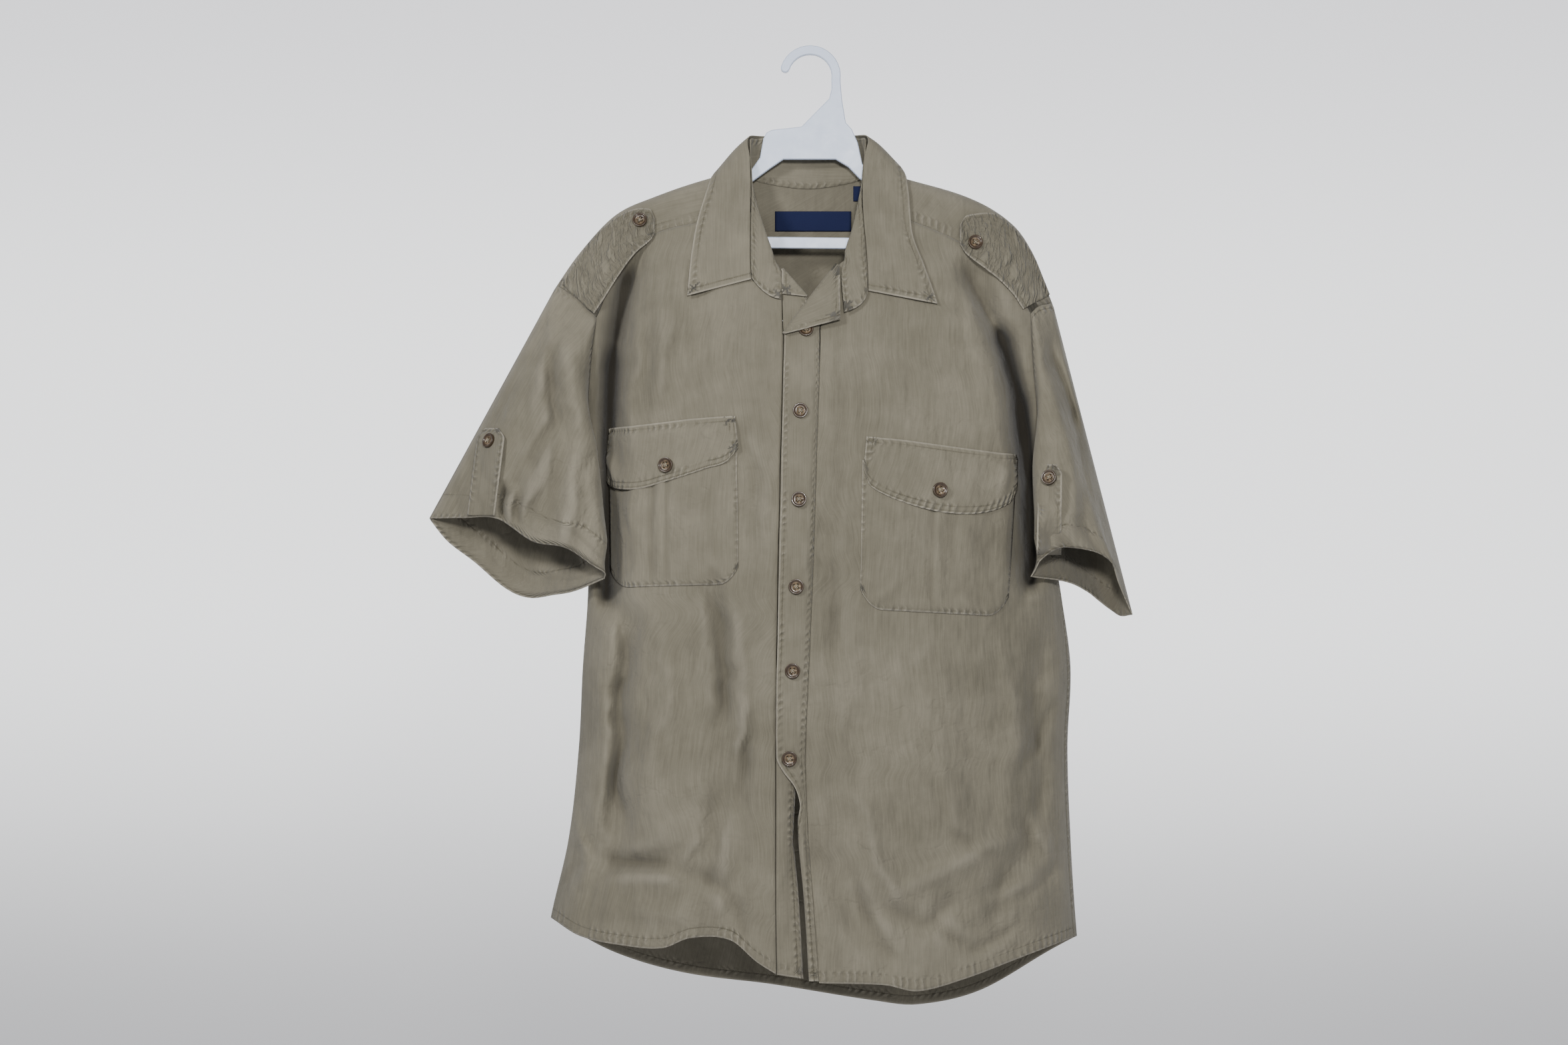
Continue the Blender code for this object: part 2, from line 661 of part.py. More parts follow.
def sleeve(side, a, k):
    """Point on a sleeve: a runs round it as in armhole, k from the sleeve head to the hem."""
    head = armhole(side, a)
    share = 2 * a if a <= 0.5 else 2 - 2 * a
    near = a <= 0.5
    row = along(sleeveHem[side], share)
    bow = sin(pi * share) ** 0.8 if 0 < share < 1 else 0.0
    hem = row[:3] if near else row[3:]
    point = mix(head, hem, k)
    swell = sin(pi * min(k, 1)) ** 0.7
    if near:
        inner = np.exp(-(((share - 0.72) / 0.3) ** 2)) * ease(share, 0, 0.2) * (1 - ease(share, 0.86, 1))
        point[0] += sleeveInner[side] * inner * ease(k, 0, 0.2) * (1 - 0.75 * ease(k, 0.6, 1))
        point[1] -= sleeveSwell["near"] * bow * swell
        point[1] += foldDepth(sleeveFolds[side], point[0], point[2]) * ease(k, 0.02, 0.2) * ease(bow, 0.1, 0.6)
    else:
        point[1] += sleeveSwell["far"] * bow * swell
    point[0] += (-1 if side == "right" else 1) * sleeveGap * (1 - ease(k, 0, 0.2))
    return clearOfBody(point, 0.05 * ease(k, 0, 0.1) * ease(share, 0.4, 0.7))


sleeveRound = [tipStation * (1 - s) for s in reversed(tipShares)]
sleeveRound += [tipStation + (0.5 - tipStation) * s for s in steps(armholeRows)][1:]
sleeveRound += [1 - a for a in reversed(sleeveRound[1:-1])]
sleeveLength = [0.0, 0.04] + [0.1 + 0.9 * s for s in steps(8)]


def sleeveFacet(side, a, k):
    """Point on a sleeve's own facets."""
    def cell(stations, value):
        low = max(min(int(np.searchsorted(stations, value, side="right")) - 1, len(stations) - 2), 0)
        start, end = stations[low], stations[low + 1]
        return start, end, (value - start) / (end - start)

    left, right, across = cell(sleeveRound, a)
    top, bottom, down = cell(sleeveLength, k)
    upper = mix(sleeve(side, left, top), sleeve(side, right, top), across)
    lower = mix(sleeve(side, left, bottom), sleeve(side, right, bottom), across)
    return mix(upper, lower, down)


def buildSleeve(side):
    rows = [[sleeve(side, a, k) for a in sleeveRound] for k in sleeveLength]
    return sheet("sleeve_" + side, rows, "cloth", ring=True)


def over(point, least):
    """Point kept at least a distance in front of the front panels."""
    x, y, drop = point
    if drop < ridge(x) + 2:
        return np.array(point)
    return np.array((x, min(y, front(x, drop)[1] - least), drop))


def turnLine(turn, x):
    (startX, startDrop), (endX, endDrop) = turn["from"], turn["to"]
    share = (x - startX) / (endX - startX)
    return startDrop + (endDrop - startDrop) * min(max(share, 0), 1)


def turnedCorner(turn, x, out, bend, run):
    """Points from the fold line of a turned corner to the neck seam, for one column."""
    drop = turnLine(turn, x)
    radius = turn["radius"]
    points = []
    for angle in bend:
        bulge = radius * sin(angle)
        points.append(front(x + turn["bulge"][0] * bulge, drop + turn["bulge"][1] * bulge,
                            out + radius * (1 - cos(angle))))
    length = max((turn["end"] - x) / turn["run"][0], turn["least"])
    for share in run:
        points.append(front(x + turn["run"][0] * length * share, drop + turn["run"][1] * length * share,
                            out + 2 * radius))
    return points


foldBend = (pi * 0.25, pi * 0.5, pi * 0.75)
foldRun = (0.0, 0.35, 0.7, 1.0)


def buildPlacket(columns, rowCount):
    hemDrop = 923.0

    def point(share, drop):
        freeX, seamX, _, _, _, curl = along(closingRows, drop)
        seamX -= seam / 2 + 0.7 * ease(320 - drop, 0, 30)
        curl = max(curl, 0)
        width = seamX - freeX
        travel = (1 - share) * (width + radians(curl) * placketCurl)
        flat = min(travel, width)
        out = 0.5 + (overlapOut - 0.5) * ease(flat, 1, 7)
        angle = (travel - flat) / placketCurl
        return front(seamX - flat - placketCurl * sin(angle), drop, out - placketCurl * (1 - cos(angle)))

    grid = []
    for share in steps(columns):
        top = settleOn(lambda drop: point(share, drop)[0], placketTurn)
        column = [point(share, hemDrop + (top - hemDrop) * up) for up in steps(rowCount)]
        x = point(share, top)[0]
        out = 0.5 + (overlapOut - 0.5) * ease((1 - share) * 35, 1, 7)
        grid.append(column + turnedCorner(placketTurn, x, out, foldBend, foldRun))
    return sheet("placket", list(zip(*grid)), "cloth")


def settleOn(columnX, turn):
    drop = 240.0
    for _ in range(14):
        drop = turnLine(turn, columnX(drop))
    return drop


def buildButtonStand(columns, rowCount):
    def point(share, drop):
        _, _, seamX, freeX, back, _ = along(closingRows, drop)
        return front(mix(seamX + seam, freeX, share), drop, -max(back, 0) * share ** 2)

    grid = []
    for share in steps(columns):
        top = settleOn(lambda drop: point(share, drop)[0], standTurn)
        hemDrop = 916.5 + 4 * share
        column = [point(share, hemDrop + (top - hemDrop) * up) for up in steps(rowCount)]
        grid.append(column + turnedCorner(standTurn, point(share, top)[0], 0, foldBend, foldRun))
    return sheet("button_stand", list(zip(*grid)), "cloth")


def buildCollarStand(columns, rowCount):
    rows = []
    for s in steps(columns):
        row = along(standRows, s)
        upper, middle, neck = row[:3], row[3:6], row[6:]
        line = []
        for share in steps(rowCount):
            bend = 2 * share * (1 - share)
            point = upper * (1 - share) ** 2 + neck * share ** 2 + middle * bend
            line.append(point + (middle - (upper + neck) / 2) * bend * 0.5)
        rows.append(line)
    return sheet("collar_stand", rows, "cloth")


def leaf(s, share):
    row = along(leafRows, s)
    inner, outer = row[:3], row[3:]
    point = mix(inner, outer, share)
    neck = ease(s, 0.24, 0.36) * (1 - ease(s, 0.64, 0.76))
    rise = sin(pi * share) * (1.5 + 3.0 * neck)
    point[2] -= rise * neck
    point[1] += rise * (ease(s, 0.36, 0.46) * (1 - ease(s, 0.54, 0.64)) * 2 - 1) * 0.6
    least = 2.6 + 2.0 * (1 - ease(share, 0.0, 0.25)) * (1 - neck)
    return over(point, least) if neck < 0.9 else point


def buildCollar(columns, rowCount):
    rows = [[leaf(s, share) for share in steps(rowCount)] for s in steps(columns)]
    return sheet("collar", rows, "cloth")


def buildPocket(side, rowCount):
    corners = pocketCorners[side]

    def across(share):
        rise = corners["round"] * (max(abs(2 * share - 1) - 0.7, 0) / 0.3) ** 2.2
        return mix(*corners["top"], share), mix(*corners["bottom"], share) - (0, rise)

    return layOn(side, "pocket_" + side, across, lambda down: pocketOut, rowCount, pocketWall)


def buildFlap(side, rowCount):
    def across(share):
        row = along(flapRows[side], share)
        return row[:2], row[2:]

    def out(down):
        return mix(pocketOut, flapOut, ease(down, 0, 0.22)) + flapSpring * down

    return layOn(side, "pocket_flap_" + side, across, out, rowCount, wall)


def buildEpaulette(side, columns, rowCount):
    rows = []
    for s in steps(rowCount):
        upperX, upperDrop, lowerX, lowerDrop = along(epauletteRows[side], s)
        line = [mix((upperX, upperDrop), (lowerX, lowerDrop), c) for c in steps(columns)]
        rows.append([front(x, max(drop, ridge(x) + 5), epauletteOut, folded=0) for x, drop in line])
    return sheet("epaulette_" + side, rows, "cloth")


def sleeveSpot(side, x, drop):
    """Place on a sleeve's front (round it, along it) at x and drop."""
    spot = np.array((0.22, 0.75))
    for _ in range(14):
        here = sleeve(side, *spot)
        slopes = np.array([
            (sleeve(side, spot[0] + 0.004, spot[1]) - here)[[0, 2]] / 0.004,
            (sleeve(side, spot[0], spot[1] + 0.004) - here)[[0, 2]] / 0.004,
        ]).T
        step = np.linalg.solve(slopes, np.array((x, drop)) - here[[0, 2]])
        spot = np.clip(spot + np.clip(step, -0.08, 0.08), (0.02, 0.05), (0.48, 1.0))
    return spot


def tabPoint(side, across, down):
    """Point on a sleeve tab: across from -1 to 1, down from the buttoned end to the hem."""
    top, low, width = tabRows[side]
    x, drop = mix(top, low, down)
    half = width / 2 * (0.6 + 0.4 * ease(down, 0, 0.14))
    xs = [x + half * share for share in (-1, -0.5, 0, 0.5, 1)]
    depths = np.array([sleeveFacet(side, *sleeveSpot(side, at, drop))[1] for at in xs])
    slope, level = np.polyfit(xs, depths, 1)
    level += min(depths - slope * np.array(xs) - level)
    at = x + half * across
    return np.array((at, slope * at + level - tabOut * hypot(1, slope), drop))


def buildTab(side):
    rows = [[tabPoint(side, across, down) for across in (-1, -0.4, 0.4, 1)]
            for down in (0, 0.06, 0.14, 0.32, 0.5, 0.66, 0.83, 1)]
    return sheet("sleeve_tab_" + side, rows, "cloth")


def buildButton(name, centre, normal):
    bpy.ops.mesh.primitive_cylinder_add(vertices=16, radius=buttonSize / 2 * mm, depth=buttonThickness * mm)
    button = bpy.context.object
    button.name = name
    button.data.materials.append(looks["button"])
    spot = np.array(place(centre + normal * (buttonThickness / 2)))
    button.location = spot
    facing = Vector((normal[0], normal[1], -normal[2]))
    button.rotation_euler = facing.to_track_quat("Z", "Y").to_euler()
    for group in button.users_collection:
        group.objects.unlink(button)
    shirt.objects.link(button)
    return button


def frontNormal(x, drop):
    return front(x, drop, 1.0) - front(x, drop)


def buildButtons():
    standoff = wall / 2 + 0.4
    for number, (x, drop) in enumerate(frontButtons):
        centre = front(x, drop, overlapOut + standoff)
        buildButton("front_button_%d" % (number + 1), centre, frontNormal(x, drop))
    for side in ("right", "left"):
        x, drop = pocketButtons[side]
        centre = front(x, drop, flapOut + 0.9 + standoff)
        buildButton("pocket_button_" + side, centre, frontNormal(x, drop))
        x, drop = epauletteButtons[side]
        centre = front(x, drop, epauletteOut + 0.2 + standoff, folded=0)
        buildButton("epaulette_button_" + side, centre, frontNormal(x, drop))
        across = tabPoint(side, 1, tabButtonDown) - tabPoint(side, -1, tabButtonDown)
        down = tabPoint(side, 0, tabButtonDown + 0.1) - tabPoint(side, 0, tabButtonDown - 0.1)
        normal = np.cross(across, down)
        normal /= -np.linalg.norm(normal) * np.sign(normal[1])
        buildButton("tab_button_" + side, tabPoint(side, 0, tabButtonDown) + normal * (standoff + 0.6), normal)


def buildLabels():
    for name, ((leftX, top), (rightX, bottom)) in labels.items():
        rows = []
        for down in steps(2):
            drop = mix(top, bottom, down)
            line = [mix(leftX, rightX, c) for c in steps(6 if name == "neck_label" else 2)]
            rows.append([body(180 - turnAt(x, drop), drop) - (0, 1.6, 0) for x in line])
        sheet(name, rows, "label", thickness=0.8)


def armTop(x):
    slope = (ridge(x + 2) - ridge(x - 2)) / 4
    return ridge(x) + armBelowRidge * hypot(1, slope)


def hangerOutline():
    """Outer outline and inner opening of the hanger, as x and drop, worked out from the ridge."""
    def arc(radius, start, end, count):
        centreX, centreDrop = hookCentre
        angles = [radians(start + (end - start) * s) for s in steps(count)]
        return [(centreX + radius * cos(a), centreDrop - radius * sin(a)) for a in angles]

    outerRadius, innerRadius = hookRadius + hookBand / 2, hookRadius - hookBand / 2
    tip = radians(hookTipAngle)
    tipX, tipDrop = hookCentre[0] + hookRadius * cos(tip), hookCentre[1] - hookRadius * sin(tip)
    tipEnd = [(tipX + hookBand / 2 * cos(tip + radians(a)), tipDrop - hookBand / 2 * sin(tip + radians(a)))
              for a in (150, 120, 90, 60, 30)]
    leftArm = [(x, armTop(x)) for x in (-193, -184, -168, -150, -130, -110, -95, -80, -68)]
    rightArm = [(x, armTop(x)) for x in (60, 72, 88, 105, 125, 145, 165, 183, 195)]
    outer = arc(outerRadius, hookTipAngle, hookEndAngle, 16) + list(hookBranch) + rightArm
    outer += list(barEnds["left"]) + list(barEnds["right"]) + leftArm + list(reversed(hookFork))
    outer += arc(innerRadius, hookEndAngle, hookTipAngle, 14) + tipEnd
    leftInner = [(x, ridge(x) + armBelowRidge + armHeight) for x in (-172, -160, -140, -120, -100, -80)]
    rightInner = [(x, ridge(x) + armBelowRidge + armHeight) for x in (68, 88, 108, 128, 148, 160)]
    inner = list(bridgeUnderside) + rightInner + [(186, 184.4), (-186, 180)] + leftInner
    return outer, inner


def buildHanger():
    flat = bpy.data.curves.new("hanger outline", "CURVE")
    flat.dimensions = "2D"
    flat.fill_mode = "BOTH"
    flat.extrude = (hangerThickness / 2 - hangerEdge) * mm
    flat.bevel_depth = hangerEdge * mm
    flat.bevel_resolution = 0
    flat.offset = -hangerEdge * mm
    for outline in hangerOutline():
        spline = flat.splines.new("POLY")
        spline.points.add(len(outline) - 1)
        for point, (x, drop) in zip(spline.points, outline):
            point.co = ((x - originX) * mm, -drop * mm, 0, 1)
        spline.use_cyclic_u = True
    drawn = bpy.data.objects.new("hanger outline", flat)
    shirt.objects.link(drawn)
    drawn.rotation_euler = (pi / 2, 0, 0)
    bpy.context.view_layer.update()
    mesh = bpy.data.meshes.new_from_object(drawn.evaluated_get(bpy.context.evaluated_depsgraph_get()))
    mesh.transform(drawn.matrix_world)
    welded = bmesh.new()
    welded.from_mesh(mesh)
    bmesh.ops.remove_doubles(welded, verts=welded.verts, dist=0.00001)
    bmesh.ops.recalc_face_normals(welded, faces=welded.faces)
    welded.to_mesh(mesh)
    welded.free()
    bpy.data.objects.remove(drawn)
    mesh.materials.clear()
    mesh.materials.append(looks["hanger"])
    hanger = bpy.data.objects.new("hanger", mesh)
    shirt.objects.link(hanger)
    return hanger


for old in list(bpy.data.objects):
    bpy.data.objects.remove(old)
shirt = bpy.data.collections.new("military_shirt")
bpy.context.scene.collection.children.link(shirt)
looks = {
    "cloth": material("khaki twill", (0.30, 0.28, 0.23), 0.85),
    "button": material("brown horn", (0.16, 0.12, 0.08), 0.35),
    "label": material("navy label", (0.02, 0.03, 0.08), 0.7),
    "hanger": material("pale blue plastic", (0.62, 0.68, 0.76), 0.35),
}

buildBack(18)
buildYoke(7)
buildPlacket(5, 26)
buildButtonStand(3, 24)
buildCollarStand(34, 3)
buildCollar(34, 4)
for side in ("right", "left"):
    buildFront(side)
    buildSleeve(side)
    buildTab(side)
    buildEpaulette(side, 4, 12)
    buildPocket(side, 9)
    buildFlap(side, 4)
buildButtons()
buildLabels()
buildHanger()
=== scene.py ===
from math import cos, hypot, pi, sin

import bpy
import numpy as np
from mathutils import Matrix, Vector


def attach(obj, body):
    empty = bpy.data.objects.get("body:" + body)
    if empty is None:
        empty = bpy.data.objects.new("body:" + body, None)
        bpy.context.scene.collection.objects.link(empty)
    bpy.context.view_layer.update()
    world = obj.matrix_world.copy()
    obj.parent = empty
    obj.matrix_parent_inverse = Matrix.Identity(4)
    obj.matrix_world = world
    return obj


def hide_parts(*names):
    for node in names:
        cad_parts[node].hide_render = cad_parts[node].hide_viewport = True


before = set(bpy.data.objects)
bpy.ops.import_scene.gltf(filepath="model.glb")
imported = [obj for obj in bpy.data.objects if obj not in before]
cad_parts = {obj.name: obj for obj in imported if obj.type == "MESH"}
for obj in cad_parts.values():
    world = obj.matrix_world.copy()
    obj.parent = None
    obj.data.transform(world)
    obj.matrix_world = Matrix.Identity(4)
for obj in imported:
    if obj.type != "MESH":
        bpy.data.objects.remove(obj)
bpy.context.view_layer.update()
mm = 0.001

# The shirt's form is worked out in millimetres in the plane of the hanger: x to the side and "drop" down
# from the crown of the hook. place() turns that into metres.
seam, sideGap, sleeveGap = 0.2, 0.3, 0.1
rollRadius = 9.0

# The world's origin is the crown of the hook's inside, at this x of the tables.
originX = -3.0

# The tables are read as the eye sees them from this point, so nearer cloth is drawn in towards it.
eyeX = -29.0
eyeDrop = 466.0
eyeDistance = 2170.0

# Body sections: drop, left and right silhouette, depth in front of and behind the hanger
bodyRows = (
    (110, -262, 252, 24, 26), (235, -262, 248, 58, 40), (262, -250, 244, 66, 42), (300, -240, 238, 74, 44),
    (350, -233, 235, 82, 46), (470, -223, 236, 90, 50), (540, -224, 247, 92, 51), (610, -229, 256, 92, 52),
    (690, -233, 253, 93, 52), (780, -243, 256, 94, 53), (860, -261, 261, 96, 54), (960, -278, 270, 98, 55),
)
sideSeamTurn = {"right": -93.0, "left": 81.0}

# Shoulder ridge over the hanger: x, drop
ridgeRows = (
    (-275, 262), (-257, 233.5), (-232, 197.6), (-197, 160.5), (-159, 142.5), (-106, 124.5), (-62, 115),
    (0, 111), (52, 113.5), (92, 124), (159, 144.6), (200, 171), (221, 203), (239, 251), (252, 275),
)

# Armholes on the front and on the back: drop, x
armholeFront = {
    "right": ((262, -216), (300, -221), (360, -225), (420, -225), (470, -222)),
    "left": ((258, 217), (300, 219), (360, 224), (420, 229), (480, 236)),
}
armholeBack = {
    "right": ((262, -232), (300, -226), (360, -220), (420, -219), (470, -222)),
    "left": ((258, 228), (300, 224), (360, 222), (420, 226), (480, 236)),
}
armpitDrop = {"right": 470.0, "left": 480.0}
shoulderTip = {"right": -257.0, "left": 239.0}

# Upper edge of each front, from the armhole along the yoke seam and down the neckline: x, drop
frontCorners = {"right": (-216, -66, -31.7), "left": (217, 52, 26)}
frontTop = {
    "right": ((-216, 262), (-190, 205), (-159, 179), (-114, 167), (-78, 160), (-66, 150), (-62, 158),
              (-51, 183), (-45, 204), (-40, 216), (-31, 221)),
    "left": ((26, 209), (36, 198), (44, 168), (52, 150), (64, 156), (104, 168), (149, 188), (190, 214),
             (217, 258)),
}

# Hems: x, drop
frontHem = {
    "right": ((-262, 859), (-232, 878), (-185, 888), (-150, 890), (-122, 880), (-83, 882), (-56, 904),
              (-35.5, 917)),
    "left": ((6, 925), (72, 927), (104, 933), (150, 921), (200, 902), (262, 878)),
}
backHem = ((-262, 859), (-200, 893), (-130, 914), (-40, 926), (60, 942), (104, 946), (166, 932), (236, 892),
           (262, 878))
backYokeSeamDrop = 265.0
hemLevel = 880.0
settleRounds = 14

# Neckline of the yoke: station round the yoke, x, drop, and the way from the ridge (-1 front, 1 back)
neckRows = (
    (0.0, -66, 150, -1), (0.12, -66, 0, 0), (0.22, -52, 124, 1), (0.36, -26, 129, 1), (0.5, -5, 130, 1),
    (0.64, 18, 129, 1), (0.78, 40, 124, 1), (0.88, 55, 0, 0), (1.0, 52, 150, -1),
)
# Stations round the yoke of the shoulder tip and of the armhole's back corner, and the yoke's depth
tipStation = 0.12
backStation = 0.22
yokeDepth = 150.0

# Front closing: drop, x of the placket's free edge, of its seam, of the stand's seam and free edge,
# how far the stand's free edge lies back, how far the placket's curls under in degrees
closingRows = (
    (210, -28, 26, -31.5, -7, 0, 0),
    (270, -28, 7.6, -30, -6.5, 0, 0),
    (283, -28.3, 7.4, -29.4, -6.5, 0, 0),
    (355, -30, 5, -31, -6.5, 0, 0),
    (530, -34, -0.8, -35, -10, 0, 0),
    (700, -36.5, -8, -37, -18, 0, 0),
    (714, -30, -7.6, -37, -18, 2, 0),
    (730, -18, -7.2, -37, -18, 5, 0),
    (748, -13, -6.5, -37, -18.5, 8, 0),
    (790, -10.5, -4.5, -37, -18.5, 9, 220),
    (845, -5.5, 0.2, -37, -14.5, 6, 240),
    (925, -0.5, 6, -36, -9.5, 4, 240),
)
placketCurl = 3.0
overlapOut = 2.7

# Corners turned back at the neck: ends of the fold line (x, drop), radius of the fold, the way the turned
# cloth runs, the way the fold bulges, and x of the neck seam where it ends
placketTurn = {"from": (-28.0, 280.0), "to": (25.7, 210.0), "radius": 2.8, "run": (0.966, -0.258),
               "bulge": (-0.793, -0.609), "end": 26.6, "least": 0.8}
standTurn = {"from": (-31.5, 213.8), "to": (-3.8, 245.0), "radius": 1.6, "run": (-0.993, -0.119),
             "bulge": (0.748, -0.664), "end": -31.0, "least": 0.8}

# Collar stand: station from one front end round the neck to the other, then x, y and drop of its upper
# edge, its middle and its neck seam
standRows = (
    (0.0, -61, -47.5, 222.5, -47, -53.5, 239, -31.8, -54.5, 243.2),
    (0.05, -61.8, -46, 212, -46, -47.5, 218, -31.9, -47, 217.5),
    (0.1, -62, -41, 200, -40, -43, 201, -39.8, -38.5, 202.5),
    (0.17, -62, -34, 176, -46, -33.5, 176, -50, -28, 180),
    (0.25, -61.5, -24.5, 148, -54.5, -23, 148, -60, -18.5, 154),
    (0.32, -61.3, -15, 120, -61.5, -12, 123, -64.8, -13, 127.6),
    (0.4, -62.3, -1, 85, -63.8, 0, 100, -65.8, 0.3, 113.6),
    (0.43, -57, 9, 84, -59, 8, 101, -59, 9.5, 117.6),
    (0.46, -46, 15, 83, -49, 13, 103, -52, 12, 122.9),
    (0.5, -5, 18.5, 83.5, -5, 16.5, 106, -5, 14.6, 129.2),
    (0.54, 36, 15, 83, 38, 13, 103, 40, 12.4, 122.6),
    (0.57, 46.5, 9, 83.5, 48.5, 8, 101, 48, 9.7, 116.8),
    (0.6, 51.8, -1, 84.5, 52.6, 0, 99, 53.6, 0.3, 111.8),
    (0.68, 49.5, -15, 119, 50, -12, 122, 52.0, -13, 126.2),
    (0.75, 48.3, -24.5, 146, 43.6, -23, 147, 49.6, -18.5, 153),
    (0.83, 50.5, -34, 174, 37.5, -33, 174, 41.5, -28.5, 176.5),
    (0.9, 52.5, -42, 200, 31, -43, 199, 34, -39.5, 200.5),
    (0.95, 53.5, -46.5, 217, 42, -50.5, 219, 28.2, -51.2, 217.5),
    (1.0, 54.3, -50.5, 234, 50, -56, 249, 31.2, -62.2, 256),
)

# Collar leaf: the same stations, then x, y and drop of its seam or fold and of its outer edge
leafRows = (
    (0.0, -61.8, -47.5, 223.5, -125.5, -48, 240),
    (0.06, -62.8, -44, 208, -123.5, -44, 218),
    (0.12, -62.9, -39, 190, -121, -36, 196),
    (0.19, -62.8, -31, 165, -116, -27, 168),
    (0.27, -62.4, -21, 135, -107, -17, 138),
    (0.34, -62.9, -13, 104, -100, -4, 120.5),
    (0.4, -64.4, -1, 82.6, -90, 13, 116),
    (0.45, -48, 18, 81.2, -56, 25, 121),
    (0.5, -5, 21, 81.4, -5, 29, 127),
    (0.55, 38, 18, 80.6, 45, 25, 120),
    (0.6, 54.2, -1, 82.0, 76, 12, 107),
    (0.66, 51.2, -13, 102, 90, -4, 116),
    (0.73, 49.4, -21, 133, 95, -17, 136),
    (0.81, 50.4, -31, 163, 99, -30, 178),
    (0.88, 53, -39, 190, 110, -38, 208),
    (0.94, 54.6, -46, 215, 118, -44, 230),
    (1.0, 55.3, -50.5, 235, 124, -49, 248),
)

# Pockets: corners at the top and the bottom (x, drop), and how far the lower corners round off
pocketCorners = {
    "right": {"top": ((-203, 392), (-76, 384)), "bottom": ((-201, 531), (-74.5, 527)), "round": 17},
    "left": {"top": ((49, 404), (201, 420)), "bottom": ((47, 552), (194, 560)), "round": 19},
}
# Pocket flaps: x and drop of the upper edge and of the lower edge, from one end to the other
flapRows = {
    "right": ((0, -204, 373, -207, 414), (0.08, -194, 371.5, -199, 429), (0.25, -172, 369, -176, 433),
              (0.5, -140, 365, -142, 424), (0.75, -109, 362, -108, 413), (0.92, -87, 360.5, -86, 406),
              (1, -77.5, 360, -75.5, 393)),
    "left": ((0, 53, 380.5, 50, 412), (0.08, 64, 381.5, 57, 430), (0.25, 90, 384, 86, 445),
             (0.5, 127, 389, 127, 456), (0.75, 164, 394, 166, 457), (0.92, 190, 397, 191, 448),
             (1, 201, 398.5, 199, 434)),
}
# Epaulettes: height above the yoke, x and drop of both long edges, from the buttoned end to the sleeve
epauletteOut = 3.3
epauletteRows = {
    "right": ((0, -157.5, 164, -157.5, 178), (0.1, -163, 154.5, -161, 185), (0.35, -187, 159.5, -178, 200),
              (0.6, -212, 179, -194, 222), (0.8, -232, 204, -207, 243), (1, -249, 229, -217, 258)),
    "left": ((0, 146, 170, 146, 190), (0.1, 153, 161, 152, 199), (0.35, 180, 160.5, 171, 214),
             (0.6, 201, 178, 186, 226), (0.8, 218, 204, 199, 240), (1, 233, 240, 208, 254)),
}

# Sleeve hems: share from the outer edge to the underarm, x and drop of the near edge and of the far edge
sleeveHem = {
    "right": ((0, -382, -2, 462, -382, -2, 463), (0.14, -350, -22, 461.5, -364, 10, 485),
              (0.3, -316, -42, 462, -338, 18, 505), (0.5, -281, -54, 485, -306, 20, 532),
              (0.66, -251, -62, 491, -283, 12, 541), (0.82, -223, -64, 509, -258, -4, 538),
              (0.92, -209, -58, 517, -237, -24, 534), (1, -208, -47, 522, -208, -47, 522)),
    "left": ((0, 318, -4, 558, 318, -4, 558), (0.2, 305, -30, 527, 306, 14, 559),
             (0.35, 298, -46, 506, 295, 18, 552), (0.5, 281, -60, 495, 285, 14, 544),
             (0.68, 251, -72, 491, 272, 0, 534), (0.85, 231, -72, 502, 252, -26, 525),
             (1, 217, -56, 520, 217, -56, 520)),
}
sleeveInner = {"right": 17.0, "left": -12.0}
sleeveSwell = {"near": 24.0, "far": 6.0}
sleeveFolds = {
    "right": ((-262, 262, -268, 320, 9, -7), (-246, 330, -262, 470, 13, 7), (-285, 300, -330, 420, 14, -6),
              (-300, 420, -296, 470, 9, 6)),
    "left": ((236, 300, 262, 365, 9, 7), (262, 365, 300, 300, 9, 6), (262, 365, 268, 470, 12, 6)),
}

# Sleeve tabs: x and drop of the middle at the buttoned top and at the hem, and the width
tabRows = {"right": ((-320, 372), (-331, 459), 27), "left": ((236, 408), (235, 498), 24)}

# Largest folds on the front: x and drop at both ends, width, depth (troughs above 0, ridges below 0)
frontFolds = (
    (-180, 190, -197, 300, 15, 17), (-197, 300, -200, 560, 14, 15), (-176, 555, -193, 640, 11, 9),
    (-193, 640, -198, 800, 12, 8), (-153, 225, -150, 350, 16, -5), (-97, 530, -86, 660, 12, 5),
    (-64, 677, -90, 760, 12, 6), (-215, 812, -131, 796, 11, 5), (-148, 640, -150, 820, 26, -6),
    (158, 205, 192, 300, 14, 15), (192, 300, 208, 390, 13, 12), (208, 390, 213, 540, 12, 8),
    (17, 450, 15, 600, 11, 4), (-2, 780, 62, 895, 12, 6), (66, 847, 108, 869, 11, 4),
    (108, 869, 146, 842, 11, 4), (100, 690, 190, 830, 26, -6), (205, 800, 175, 868, 13, 6),
    (222, 590, 216, 800, 12, 7),
)
backFolds = (
    (-150, 290, -165, 850, 17, 11), (-70, 300, -80, 880, 19, 8), (8, 290, 14, 900, 18, 9),
    (88, 300, 84, 880, 20, 7), (160, 290, 172, 850, 16, 12),
)

